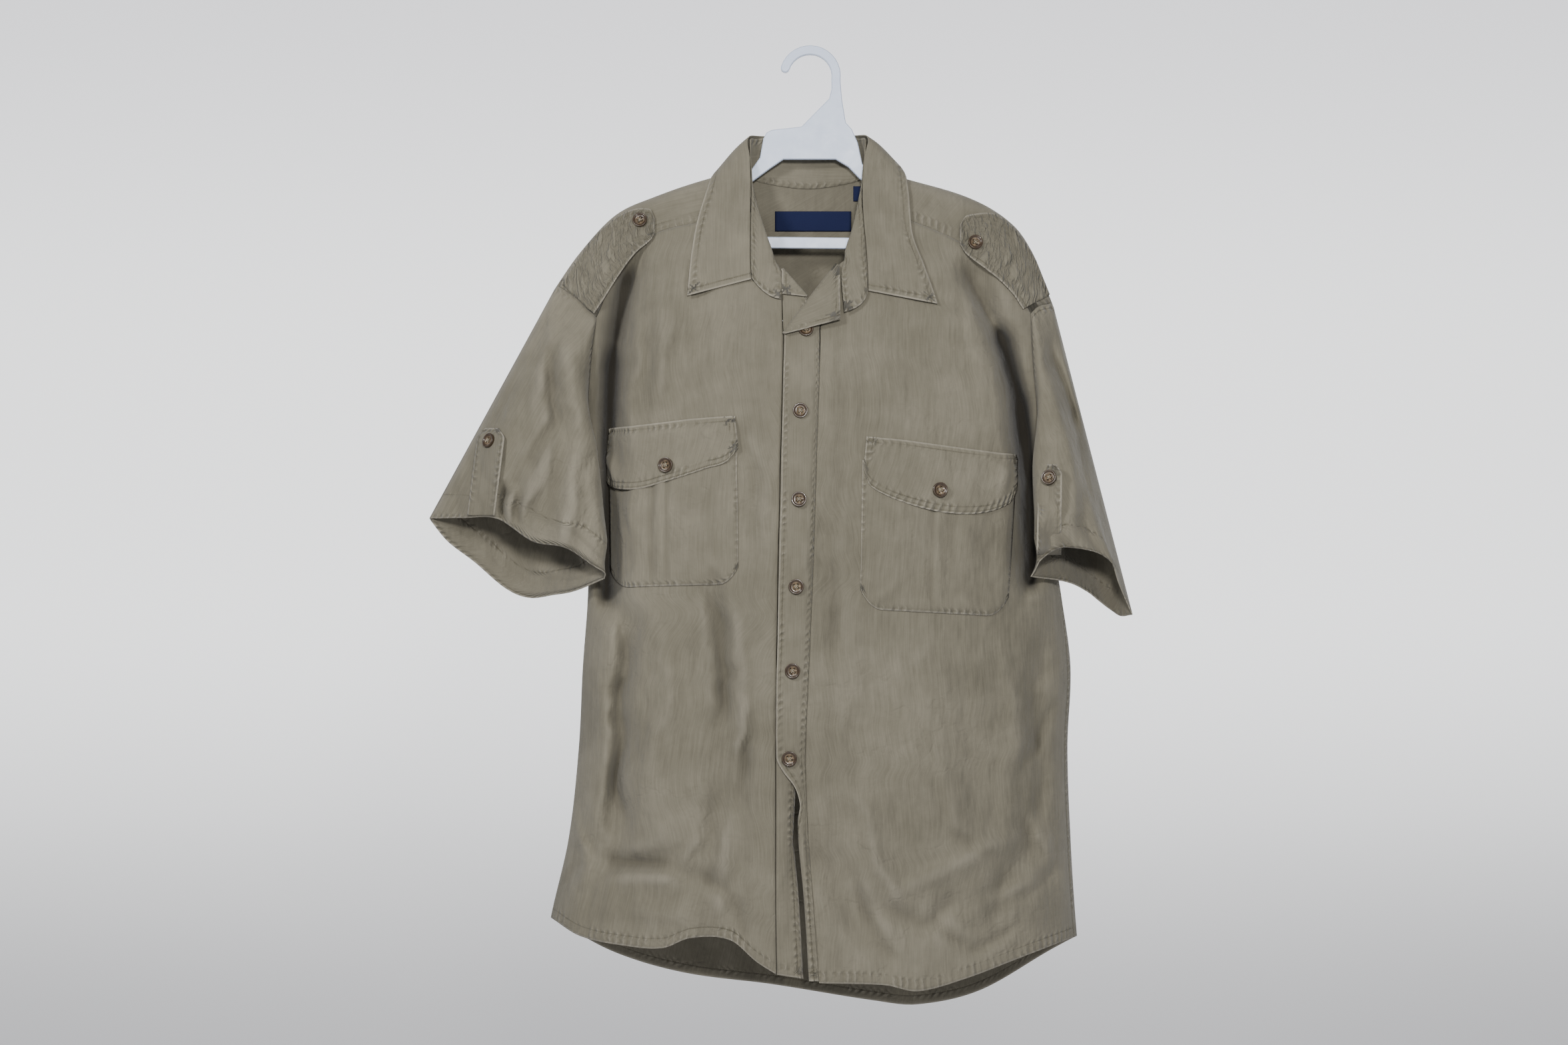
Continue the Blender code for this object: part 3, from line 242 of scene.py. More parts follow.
# Creases on top of the large folds: x and drop at both ends, width, depth (ridges are below 0)
frontCreases = (
    (-184, 215, -200, 300, 9, 9), (-200, 300, -205, 400, 10, 15), (-205, 400, -206, 545, 9, 12),
    (-176, 250, -184, 380, 7, -3.5), (-120, 205, -112, 300, 14, 2.0), (-98, 540, -87, 655, 8, 3.5),
    (-78, 560, -74, 660, 9, -2.0), (-186, 560, -193, 760, 8, 6), (150, 215, 186, 275, 9, 7),
    (186, 275, 206, 345, 10, 15), (206, 345, 213, 420, 10, 20), (213, 420, 217, 530, 9, 14),
    (176, 300, 192, 400, 8, -4.0), (150, 300, 160, 370, 9, -2.0), (-153, 255, -153, 345, 9, -2.2),
    (-121, 270, -110, 420, 9, 1.4), (-92, 200, -98, 330, 10, -1.2), (-70, 372, -59, 490, 8, 2.4),
    (-57, 372, -50, 470, 7, -1.2), (-159, 549, -146, 622, 11, -3.2), (-146, 622, -166, 725, 12, -3.4),
    (-120, 543, -126, 640, 9, 1.8), (-92, 622, -104, 790, 9, 3.0), (-64, 645, -87, 750, 6, -3.6),
    (-87, 750, -95, 860, 8, -2.6), (-74, 692, -64, 672, 4, -2.0), (-259, 839, -216, 783, 8, 3.0),
    (-238, 758, -226, 820, 6, -3.2), (-209, 800, -148, 809, 8, 3.4), (-148, 809, -86, 829, 9, 2.6),
    (-200, 818, -140, 822, 7, -2.2), (-137, 805, -118, 783, 6, -2.4), (-109, 811, -76, 846, 8, 3.2),
    (-76, 846, -68, 884, 7, 3.2), (-186, 850, -120, 862, 10, -1.8), (-206, 640, -214, 780, 8, -2.2),
    (165, 303, 177, 380, 8, -2.6), (141, 230, 158, 330, 9, 1.6), (120, 570, 139, 690, 18, -1.6),
    (60, 560, 70, 700, 16, 1.2), (237, 650, 218, 696, 6, 3.4), (218, 696, 214, 752, 6, -3.0),
    (214, 752, 238, 800, 6, -2.6), (232, 700, 228, 760, 6, 2.6), (86, 834, 126, 816, 10, -2.6),
    (126, 816, 192, 783, 10, -3.2), (120, 716, 142, 778, 8, 2.4), (142, 778, 194, 806, 8, 2.6),
    (47, 733, 64, 806, 9, -3.0), (64, 806, 86, 846, 8, -2.6), (30, 800, 60, 866, 7, 3.4),
    (42, 834, 76, 902, 6, 2.6), (125, 867, 160, 893, 6, 3.0), (160, 893, 203, 866, 6, 3.0),
    (209, 840, 246, 806, 7, 2.8), (170, 850, 214, 826, 7, -2.4), (96, 600, 104, 640, 8, 1.0),
    (22, 470, 20, 570, 5, 1.6), (30, 640, 36, 740, 9, -1.6), (150, 640, 176, 760, 14, 1.8),
    (196, 590, 204, 700, 9, -2.0),
)
backCreases = (
    (-190, 420, -150, 560, 12, 2.4), (-110, 620, -60, 760, 14, -2.6), (-30, 420, -10, 560, 12, 2.2),
    (60, 640, 110, 780, 14, 2.6), (120, 430, 150, 560, 12, -2.4), (-180, 820, -60, 850, 10, 2.6),
    (20, 860, 130, 840, 10, -2.4), (190, 700, 206, 840, 9, 2.6),
)
sleeveCreases = {
    "right": (
        (-264, 292, -259, 364, 7, 6.0), (-259, 364, -294, 418, 7, 5.0), (-247, 276, -236, 376, 11, -4.5),
        (-273, 317, -286, 361, 8, -3.6), (-338, 376, -356, 424, 6, 4.0), (-356, 424, -353, 458, 6, 4.0),
        (-273, 436, -280, 472, 6, 4.0), (-311, 430, -309, 462, 3.6, 8.0), (-300, 433, -301, 464, 4, -4.5),
        (-291, 440, -288, 470, 4, 4.0), (-240, 430, -246, 490, 8, -3.0), (-225, 400, -228, 500, 7, 3.0),
        (-318, 330, -338, 372, 8, -2.4)),
    "left": ((240, 290, 262, 362, 6, 4.5), (262, 362, 280, 300, 6, 4.5), (256, 372, 262, 470, 7, -4.6),
             (284, 380, 292, 480, 7, 4.4), (270, 470, 296, 506, 6, 4.4), (246, 480, 262, 500, 5, 4.0),
             (272, 330, 300, 420, 7, -3.6)),
}
pocketCreases = {
    "right": ((-160.5, 405, -161, 530, 2.2, 2.6), (-145.5, 405, -146, 528, 2.2, 2.4),
              (-153, 400, -153, 520, 5, -1.4), (-187, 432, -190, 520, 6, 3.0),
              (-176, 430, -172, 500, 7, -2.0), (-100, 505, -82, 520, 5, -1.2), (-96, 512, -90, 528, 4, 1.2)),
    "left": ((119, 445, 117, 545, 2.2, 2.6), (126, 445, 124, 540, 4, -1.4), (136, 462, 142, 520, 6, 2.0),
             (150, 462, 158, 500, 6, -1.6), (176, 462, 180, 530, 7, 2.2), (62, 540, 70, 552, 4, 1.4),
             (150, 540, 164, 556, 5, -1.6), (76, 530, 60, 548, 5, -1.4)),
}
flapCreases = {
    "right": ((-156, 372, -157, 402, 4, 2.0), (-122, 364, -116, 376, 4, 2.2), (-112, 362, -104, 380, 5, -1.6),
              (-186, 380, -170, 420, 7, 2.0), (-205, 400, -192, 428, 5, -2.4)),
    "left": ((172, 400, 166, 424, 4, 2.4), (186, 402, 182, 436, 5, -2.6), (150, 396, 146, 420, 6, 1.6),
             (192, 404, 200, 412, 3, 2.0)),
}


def along(rows, keys):
    table = np.asarray(rows, float)
    at, values = table[:, 0], table[:, 1:]
    keys = np.clip(np.asarray(keys, float), at[0], at[-1])
    row = np.clip(np.searchsorted(at, keys, side="right") - 1, 0, len(at) - 2)
    order = np.arange(len(at))
    low, high = np.maximum(order - 1, 0), np.minimum(order + 1, len(at) - 1)
    slopes = (values[high] - values[low]) / (at[high] - at[low])[:, None]
    span = (at[row + 1] - at[row])[..., None]
    share = (keys - at[row])[..., None] / span
    squared, cubed = share ** 2, share ** 3
    return ((2 * cubed - 3 * squared + 1) * values[row] + (cubed - 2 * squared + share) * span * slopes[row]
            + (3 * squared - 2 * cubed) * values[row + 1] + (cubed - squared) * span * slopes[row + 1])


def ease(value, low, high):
    share = np.clip((np.asarray(value, float) - low) / (high - low), 0.0, 1.0)
    return share * share * (3 - 2 * share)


def mix(start, end, share):
    return np.asarray(start, float) * (1 - share) + np.asarray(end, float) * share


# Smooth uneven values between -1 and 1 on a lattice of one unit
def softNoise(x, y, seed):
    table = np.random.default_rng(seed).uniform(-1, 1, (64, 64))
    column, row = np.floor(x).astype(int), np.floor(y).astype(int)
    fx, fy = x - column, y - row
    fx, fy = fx * fx * (3 - 2 * fx), fy * fy * (3 - 2 * fy)
    near = table[row % 64, column % 64] * (1 - fx) + table[row % 64, (column + 1) % 64] * fx
    far = table[(row + 1) % 64, column % 64] * (1 - fx) + table[(row + 1) % 64, (column + 1) % 64] * fx
    return near * (1 - fy) + far * fy


# Folds: the depth above which one is deep, how much deeper than its row, how many widths its ends fade over;
# the same for the others, with the longest share of their length; the width below which one is a pressed
# pleat. Only the others sway: width and length of the waves, their seed, how far they move the fold.
folds = {"deep": 8, "deepFullness": 1.3, "deepFade": 1.4, "fullness": 1.65, "fade": 2.6, "most": 0.4,
         "pleat": 3, "sway": ((46, 38, 21, 6), (17, 15, 22, 2))}


def foldDepth(rows, x, drop):
    total = 0.0
    swayed = x + sum(softNoise(x / wide, drop / tall, seed) * far for wide, tall, seed, far in folds["sway"])
    for startX, startDrop, endX, endDrop, width, depth in rows:
        deep = depth > folds["deep"]
        away = (x if deep or width < folds["pleat"] else swayed) - startX
        runX, runDrop = endX - startX, endDrop - startDrop
        length = hypot(runX, runDrop)
        share = (away * runX + (drop - startDrop) * runDrop) / length ** 2
        across = np.abs(away * runDrop - (drop - startDrop) * runX) / length
        reach = width * folds["deepFade"] if deep else min(width * folds["fade"], length * folds["most"])
        fade = ease(share * length, -reach, reach) * ease((1 - share) * length, -reach, reach)
        total = total + depth * folds["deepFullness" if deep else "fullness"] * fade * np.exp(
            -((across / width) ** 2))
    return total


# Unevenness of washed cotton, longer down the cloth than across it: height, lean of x and of y, width,
# length, step of the seed
rumpleWaves = ((1.0, 0.18, 0, 34, 95, 0), (0.55, -0.3, 0, 17, 44, 7), (0.3, 0.5, -0.4, 9, 17, 13))


def rumple(x, y, seed=1):
    x, y = np.asarray(x, float), np.asarray(y, float)
    return sum(height * softNoise((x + leanX * y) / width, (y + leanY * x) / length, seed + step)
               for height, leanX, leanY, width, length, step in rumpleWaves)


def ridge(x):
    return along(ridgeRows, x)[..., 0]


def sectionAt(drop):
    left, right, near, far = np.moveaxis(along(bodyRows, drop), -1, 0)
    return (left + right) / 2, (right - left) / 2, near, far


def turnAt(x, drop):
    centre, half, _, _ = sectionAt(drop)
    return np.degrees(np.arcsin(np.clip((x - centre) / half, -1, 1)))


# The body falls over the shoulder in a roll, swells out from it and takes its folds: drops below the ridge
# over which the roll goes and the folds come, how fast it swells, where the sides start to hold no fold
form = {"rollEnds": (60, 200), "foldsStart": (10, 90), "swell": 90.0, "sides": 0.3, "leastRoll": 0.6}


# Point on the body at an angle round it (beyond 90 is the back) and a drop
def body(turn, drop, folded=1.0):
    turn, drop = np.broadcast_arrays(np.asarray(turn, float), np.asarray(drop, float))
    centre, half, near, far = sectionAt(drop)
    angle = np.radians(turn)
    x = centre + half * np.sin(angle)
    facing = np.cos(angle)
    below = np.maximum(drop - ridge(x), 0)
    rolled = np.sqrt(np.maximum(rollRadius ** 2 - np.maximum(rollRadius - below, 0) ** 2, 0))
    rolled = rolled * (1 - ease(below, *form["rollEnds"]))
    swell = np.abs(facing) * (1 - np.exp(-below / form["swell"]))
    edge = ease(np.abs(facing), 0.0, form["sides"])
    start = ease(below, *form["foldsStart"])
    dents = foldDepth(frontFolds, x, drop) + foldDepth(frontCreases, x, drop)
    front = -rolled - near * swell + edge * start * (folded * dents + rumple(x, drop))
    front = np.minimum(front, -rolled * form["leastRoll"])
    dents = foldDepth(backFolds, x, drop) + foldDepth(backCreases, x, drop)
    back = rolled + far * swell - edge * (dents + start * rumple(x, drop, 31))
    return np.stack((x, np.where(facing >= 0, front, back), drop), -1)


# Point on the front, moved out of the cloth towards the eye
def front(x, drop, out=0.0, folded=1.0):
    x, drop = np.broadcast_arrays(np.asarray(x, float), np.asarray(drop, float))

    def at(px, pdrop):
        return body(turnAt(px, pdrop), pdrop, folded)

    normal = np.cross(at(x + 4, drop) - at(x - 4, drop), at(x, drop + 4) - at(x, drop - 4))
    normal /= np.linalg.norm(normal, axis=-1, keepdims=True)
    normal = np.where(normal[..., 1:2] > 0, -normal, normal)
    return at(x, drop) + normal * np.asarray(out, float)[..., None]


def reachAt(x, drop):
    below = np.maximum(drop - ridge(x), 0)
    rolled = rollRadius * np.arccos(np.clip(1 - below / rollRadius, 0, 1))
    return np.where(below < rollRadius, rolled, below - rollRadius + rollRadius * pi / 2)


def shoulder(x, reach):
    travel = np.abs(reach)
    turnLength = rollRadius * pi / 2
    below = np.where(travel < turnLength, rollRadius * (1 - np.cos(travel / rollRadius)),
                     rollRadius + travel - turnLength)
    drop = ridge(x) + below
    turn = turnAt(x, drop)
    return body(np.where(reach > 0, 180 - turn, turn), drop)


def place(points):
    points = np.asarray(points, float)
    x, y, drop = points[..., 0], points[..., 1], points[..., 2]
    scale = (eyeDistance + y) / eyeDistance
    return np.stack((eyeX + (x - eyeX) * scale - originX, y, -(eyeDrop + (drop - eyeDrop) * scale)), -1) * mm


def steps(count):
    return np.linspace(0, 1, count + 1)


def sideTurn(side, drop):
    middle = -90.0 if side == "right" else 90.0
    return middle + (sideSeamTurn[side] - middle) * ease(drop, armpitDrop[side], armpitDrop[side] + 120)


def nudge(turn, drop, distance):
    travel = np.linalg.norm(body(turn + 0.5, drop) - body(turn - 0.5, drop), axis=-1)
    return turn + distance / np.maximum(travel, 0.3)


def frontEdge(side, drop):
    x = along(armholeFront[side], drop)[..., 0]
    level = armpitDrop[side]
    return mix(turnAt(x, drop), sideTurn(side, drop), ease(drop, level - 40, level))


def backEdge(side, drop):
    x = along(armholeBack[side], drop)[..., 0]
    level = armpitDrop[side]
    behind = (-180 if side == "right" else 180) - turnAt(x, drop)
    return mix(behind, sideTurn(side, drop), ease(drop, level - 40, level))


def topSeam(side, x, away):
    slope = (along(frontTop[side], x + 1)[..., 0] - along(frontTop[side], x - 1)[..., 0]) / 2
    return along(frontTop[side], x)[..., 0] + away * np.hypot(1, slope)


# The drop at which a column meets an edge given as x, drop
def settle(column, edge):
    drop = hemLevel
    for _ in range(settleRounds):
        drop = along(edge, column(drop)[..., 0])[..., 0]
    return drop


def panelEdges(side, drop):
    sign = -1 if side == "right" else 1
    seamX = along(closingRows, drop)[..., 1 + (side == "right")]
    outer = nudge(frontEdge(side, drop), drop, -sign * sideGap / 2)
    return outer, nudge(turnAt(seamX, drop), drop, sign * seam / 2)


# Drops down each column: even above the armpit's level and even below it
def spread(top, middle, bottom, upper, lower):
    high = [top + (middle - top) * down for down in steps(upper)]
    return np.array(high + [middle + (bottom - middle) * down for down in steps(lower)[1:]])


# Thickness of a sheet, the distance that stands for no edge or stitch near, rounds of smoothing for hollows
cloth = {"wall": 1.05, "far": 99.0, "blurs": 16}
sheetFacts = {}


# How far each point lies below the smoothed cloth around it, in millimetres
def hollows(world, ring):
    soft = world.copy()
    for _ in range(cloth["blurs"]):
        if ring:
            wide = np.concatenate((soft[:, -1:], soft, soft[:, :1]), axis=1)
        else:
            wide = np.pad(soft, ((0, 0), (1, 1), (0, 0)), "edge")
        sides = 0.25 * (wide[:, :-2] + wide[:, 2:]) + 0.5 * soft
        if not ring:
            sides[:, 0], sides[:, -1] = soft[:, 0], soft[:, -1]
        soft = sides.copy()
        soft[1:-1] = 0.25 * (sides[:-2] + sides[2:]) + 0.5 * sides[1:-1]
    normal = np.cross(np.gradient(soft, axis=1), np.gradient(soft, axis=0))
    normal /= np.linalg.norm(normal, axis=-1, keepdims=True) + 1e-12
    centre = soft.mean(axis=1, keepdims=True) if ring else soft * np.array((0.0, 0.0, 1.0))
    facing = np.sign(((soft - centre) * normal).sum())
    return ((soft - world) * normal).sum(axis=-1) * facing / mm


# One cut piece of cloth on a grid of points; its CAD node has the same name. Its looks are worked out from
# values on each point: how far it is from the nearest finished edge, how far from the nearest line of
# stitches and how far along that line, how deep it lies in a fold plus any extra depth given as painted
# shadow (this depth sets painted shade in folds and a painted highlight on ridges), how crushed it is.
def sheet(name, points, stitches=(), edges=(), ring=False, wall=None, look=None,
          crush=0.0, pitShadow=0.0):
    points = np.asarray(points, float)
    count, across = points.shape[:2]
    world = place(points)
    sideways = np.linalg.norm(np.diff(world, axis=1), axis=-1) / mm
    lengthways = np.linalg.norm(np.diff(world, axis=0), axis=-1) / mm
    fromLeft = np.concatenate((np.zeros((count, 1)), np.cumsum(sideways, axis=1)), axis=1)
    fromTop = np.concatenate((np.zeros((1, across)), np.cumsum(lengthways, axis=0)), axis=0)
    away = {"left": fromLeft, "right": fromLeft[:, -1:] - fromLeft,
            "top": fromTop, "bottom": fromTop[-1:] - fromTop}
    edge = np.full((count, across), cloth["far"])
    for side in edges:
        edge = np.minimum(edge, away[side])
    stitch, run = np.full((count, across), cloth["far"]), np.zeros((count, across))
    for side, offset in stitches:
        distance = np.abs(away[side] - offset)
        closer = distance < stitch
        stitch = np.where(closer, distance, stitch)
        run = np.where(closer, fromTop if side in ("left", "right") else fromLeft, run)
    faces, corners = [], []
    for i in range(count - 1):
        for j in range(across if ring else across - 1):
            k = (j + 1) % across
            faces.append((i * across + j, i * across + k, (i + 1) * across + k, (i + 1) * across + j))
            corners += [(i, j), (i, j + 1), (i + 1, j + 1), (i + 1, j)]
    mesh = bpy.data.meshes.new(name + "_cloth")
    mesh.from_pydata(world.reshape(-1, 3).tolist(), [], faces)
    if ring:
        closing = np.linalg.norm(world[:, 0] - world[:, -1], axis=-1)[:, None] / mm
        fromLeft = np.concatenate((fromLeft, fromLeft[:, -1:] + closing), axis=1)
        fromTop = np.concatenate((fromTop, fromTop[:, :1]), axis=1)
    corners = np.array(corners)
    flat = np.stack((fromLeft[corners[:, 0], corners[:, 1]], fromTop[corners[:, 0], corners[:, 1]]), -1) * mm
    layer = mesh.uv_layers.new(name="cut")
    layer.data.foreach_set("uv", flat.astype(np.float32).ravel())
    values = {"edge": edge, "stitch": stitch, "run": run, "hollow": hollows(world, ring) + pitShadow,
              "crush": np.full((count, across), crush)}
    for key, value in values.items():
        attribute = mesh.attributes.new(key, "FLOAT", "POINT")
        attribute.data.foreach_set("value", value.astype(np.float32).ravel())
    mesh.shade_smooth()
    piece = addPiece(name + "_cloth", mesh, look or khaki)
    useModifier(piece, "SOLIDIFY", thickness=(wall or cloth["wall"]) * mm, offset=0)
    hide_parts(name)
    surface = sum(face.area for face in piece.data.polygons) / 2
    width, length = round(fromLeft[:, -1].max() * mm, 3), round(fromTop[-1].max() * mm, 3)
    sheetFacts[name] = (round(width * 1000), round(length * 1000), round(surface * 1e4))


# An output of a shader node that can be added to, multiplied and so on
class Wire:
    def __init__(self, shader, socket):
        self.shader, self.socket = shader, socket

    def math(self, operation, *others):
        return self.shader.add("ShaderNodeMath", {"operation": operation}, dict(enumerate((self,) + others)))

    def __add__(self, other):
        return self.math("ADD", other)

    def __sub__(self, other):
        return self.math("SUBTRACT", other)

    def __rsub__(self, other):
        return self.math("MULTIPLY_ADD", -1.0, other)

    def __mul__(self, other):
        return self.math("MULTIPLY", other)

    __radd__, __rmul__ = __add__, __mul__

    def rise(self, low, high):
        settings = {"interpolation_type": "SMOOTHSTEP"}
        return self.shader.add("ShaderNodeMapRange", settings, {0: self, 1: low, 2: high})


# A material with one Principled BSDF
class Finish:
    def __init__(self, name, **values):
        self.material = bpy.data.materials.new(name)
        self.material.use_nodes = True
        self.tree = self.material.node_tree
        self.surface = self.tree.nodes["Principled BSDF"]
        for key, value in values.items():
            self.surface.inputs[key.replace("_", " ")].default_value = value

    def add(self, kind, settings, sockets, output=0):
        node = self.tree.nodes.new(kind)
        for key, value in settings.items():
            setattr(node, key, value)
        for key, value in sockets.items():
            if isinstance(value, Wire):
                self.tree.links.new(value.socket, node.inputs[key])
            else:
                node.inputs[key].default_value = value
        return Wire(self, node.outputs[output])

    def feed(self, name, wire):
        self.tree.links.new(wire.socket, self.surface.inputs[name])

    def value(self, name):
        return self.add("ShaderNodeAttribute", {"attribute_name": name}, {}, "Fac")

    def place(self):
        return self.add("ShaderNodeTexCoord", {}, {}, "Object")

    def cut(self):
        return self.add("ShaderNodeUVMap", {"uv_map": "cut"}, {})

    def parts(self, where):
        node = self.add("ShaderNodeSeparateXYZ", {}, {0: where}).socket.node
        return [Wire(self, output) for output in node.outputs]

    def stretched(self, where, scale, turn=(0.0, 0.0, 0.0)):
        return self.add("ShaderNodeMapping", {}, {"Vector": where, "Rotation": turn, "Scale": scale})

    def noise(self, where, scale, detail=2.0, rough=0.5):
        sockets = {"Vector": where, "Scale": scale, "Detail": detail, "Roughness": rough}
        return self.add("ShaderNodeTexNoise", {}, sockets)

    def bump(self, height, strength, distance=mm):
        sockets = {"Height": height, "Strength": strength, "Distance": distance}
        self.feed("Normal", self.add("ShaderNodeBump", {}, sockets))

    def blend(self, share, first, second):
        return self.add("ShaderNodeMix", {"data_type": "RGBA"}, {0: share, 6: first, 7: second}, 2)


# Khaki cloth: its colours, then pitches and lengths in millimetres. Noise: how fine, how detailed and how
# rough, or how fine each way. Shares of a colour laid over the cloth, heights of the bump in millimetres.
khakiLook = {
    # Of the colours, shade and plain are the cloth's own tones, worn is rubbed wear at edges and also painted
    # highlight, thread is the thread and also painted shade, and the two darkest are painted shade and
    # painted shadow.
    "shade": (0.112, 0.103, 0.076, 1), "plain": (0.200, 0.184, 0.141, 1), "worn": (0.33, 0.305, 0.25, 1),
    "thread": (0.095, 0.086, 0.060, 1), "deep": (0.05, 0.044, 0.033, 1), "pitShadow": (0.012, 0.010, 0.008, 1),
    "weavePitch": 1.1, "puckerPitch": 7.4, "puckerWander": 9.0, "stitchLength": 2.6,
    "broad": (7.0, 3.0), "patchy": (34.0, 4.0, 0.6), "grain": (900.0, 2.0, 0.7), "lines": (15.0, 4.0, 0.6),
    "swell": (22.0, 3.0, 0.6), "slub": (640.0, 26.0, 1.0), "crumple": (46.0, 115.0, 1.0),
    "diagonal": (34.0, 12.0, 9.0), "diagonalTurn": (0.0, 0.7, 0.0),
    # Of the shares, those of ridges, folds, pits, diagonals, creases, crushed cloth, puckers and grooves lay
    # on painted highlight and painted shade; that of edges is rubbed wear; that of thread is the thread.
    "highlightOnRidges": 0.22, "shadeInFolds": 0.42, "shadowInPits": 0.85, "shadeOnDiagonals": 0.16, "shadeInCreases": 0.04,
    "shadeOnCrushed": 0.22, "onEdges": 0.7, "highlightOnPuckers": 0.24, "shadeBetweenPuckers": 0.46, "shadeInGrooves": 0.46,
    "onThread": 0.8,
    "heights": {"pucker": 1.0, "groove": -0.35, "thread": 0.3, "twill": 0.035, "grain": 0.12, "slub": 0.1,
                "patchy": 0.9, "broad": 3.0, "crease": -0.35, "crumple": 2.2, "diagonal": -7.0, "swell": 3.0},
    "bump": 0.9,
}


def makeKhaki():
    look = khakiLook
    finish = Finish("washed khaki twill", Roughness=0.88, Sheen_Weight=0.12, Specular_IOR_Level=0.22)
    place, cut = finish.place(), finish.cut()
    across, down = [part * 1000.0 for part in finish.parts(cut)[:2]]
    edge, stitch, run, hollow, crushed = map(finish.value, ("edge", "stitch", "run", "hollow", "crush"))
    broad, patchy = finish.noise(place, *look["broad"]), finish.noise(place, *look["patchy"])
    slub = finish.noise(finish.stretched(cut, look["slub"]), 1.0, 3.0)
    diagonal = finish.noise(finish.stretched(place, look["diagonal"], look["diagonalTurn"]), 1.0, 3.0, 0.6)
    lines = (finish.noise(place, *look["lines"]) - 0.5).math("ABSOLUTE")
    crease = (1.0 - lines.rise(0.0, 0.035)) * broad.rise(0.4, 0.6)
    crumple = (finish.noise(finish.stretched(cut, look["crumple"]), 1.0, 3.0) - 0.5).math("ABSOLUTE")
    crumple = crumple.rise(0.0, 0.13) * crushed
    tick = run * (2 * pi / look["puckerPitch"]) + stitch * 0.35 + (patchy - 0.5) * look["puckerWander"]
    pucker = tick.math("SINE") * ((1.0 - stitch.rise(0.8, 5.2)) * (patchy.rise(0.36, 0.62) * 0.85 + 0.15))
    dash = (run * (2 * pi / look["stitchLength"])).math("SINE").rise(-0.75, -0.35)
    thread = (1.0 - stitch.rise(0.3, 0.62)) * dash
    groove = 1.0 - stitch.rise(0.3, 1.3)
    worn = (1.0 - edge.rise(0.4, 2.2)) * (0.45 + patchy * 0.8)
    tone = broad.rise(0.3, 0.72) * 0.42 + patchy.rise(0.3, 0.75) * 0.3 + (slub - 0.5) * 0.85 + 0.2
    colour = finish.blend(tone, look["shade"], look["plain"])
    # lift is rubbed wear at finished edges and a painted highlight on pucker crests; low is painted shade
    # between puckers and in the grooves along stitches
    lift = worn * look["onEdges"] + pucker.rise(0.3, 1.0) * look["highlightOnPuckers"]
    low = (pucker * -1.0).rise(0.25, 0.9) * look["shadeBetweenPuckers"] + groove * look["shadeInGrooves"]
    for share, over in (
            # Lighter on ridges: painted highlight
            ((hollow * -1.0).rise(0.1, 4.0) * look["highlightOnRidges"], "worn"),
            # Darker in folds and near black in the deepest: painted shade and painted shadow
            (hollow.rise(0.1, 5.0) * look["shadeInFolds"], "deep"),
            (hollow.rise(4.0, 12.0) * look["shadowInPits"], "pitShadow"),
            # Darker in diagonal wrinkles, along fine creases and along the crease lines of crushed cloth:
            # painted shade
            (diagonal.rise(0.5, 0.78) * look["shadeOnDiagonals"], "deep"),
            (crease * look["shadeInCreases"] + (crushed - crumple) * look["shadeOnCrushed"], "deep"),
            # Rubbed edge wear with a painted highlight on pucker crests, then painted shade between puckers
            # and in stitch grooves
            (lift.math("MINIMUM", 1.0), "worn"), (low.math("MINIMUM", 1.0), "thread"),
            (thread * look["onThread"], "thread")):
        colour = finish.blend(share, colour, look[over])
    finish.feed("Base Color", colour)
    parts = {"pucker": pucker, "groove": groove, "thread": thread, "slub": slub, "patchy": patchy,
             "twill": ((across + down * 1.6) * (2 * pi / look["weavePitch"])).math("SINE"),
             "grain": finish.noise(cut, *look["grain"]), "broad": broad, "crease": crease, "crumple": crumple,
             "diagonal": diagonal, "swell": finish.noise(place, *look["swell"])}
    finish.bump(sum(parts[name] * height for name, height in look["heights"].items()), look["bump"])
    return finish.material


buttonLook = {"rim": (0.030, 0.017, 0.009, 1), "middle": (0.20, 0.145, 0.088, 1),
              "cotton": ((0.20, 0.18, 0.13, 1), (0.26, 0.23, 0.17, 1))}


def makeHorn():
    finish = Finish("brown horn", Roughness=0.3, Coat_Weight=0.15)
    place = finish.place()
    grain = (finish.noise(place, 420.0, 4.0, 0.65) * 0.7 + finish.noise(place, 120.0) * 0.5).rise(0.42, 0.72)
    middle = finish.blend(grain, buttonLook["rim"], buttonLook["middle"])
    border = finish.value("rim").rise(0.5, 0.72) * 0.9
    finish.feed("Base Color", finish.blend(border, middle, buttonLook["rim"]))
    return finish.material


def makeCotton():
    finish = Finish("sewing cotton", Roughness=0.9)
    finish.feed("Base Color", finish.blend(finish.noise(finish.place(), 900.0), *buttonLook["cotton"]))
    return finish.material


plasticLook = {"colours": ((0.50, 0.58, 0.74, 1), (0.58, 0.66, 0.82, 1)), "scuffed": 0.25, "smooth": 0.24,
               "bump": 0.15}


def makePlastic():
    finish = Finish("pale hanger plastic", Specular_IOR_Level=0.45)
    place = finish.place()
    scuff = finish.noise(place, 60.0, 4.0, 0.6)
    finish.feed("Base Color", finish.blend(finish.noise(place, 11.0), *plasticLook["colours"]))
    finish.feed("Roughness", scuff * plasticLook["scuffed"] + plasticLook["smooth"])
    finish.bump(scuff, plasticLook["bump"])
    return finish.material


# Labels inside the neck: x and drop of two opposite corners
labels = {"neck_label": ((-38, 156), (38, 176)), "size_tab": ((40, 131), (51.5, 146))}
labelLook = {"colours": ((0.005, 0.008, 0.035, 1), (0.012, 0.018, 0.065, 1)), "edge": (0.008, 0.01, 0.03, 1),
             "bump": 0.4, "wall": 0.6, "inside": 1.5}


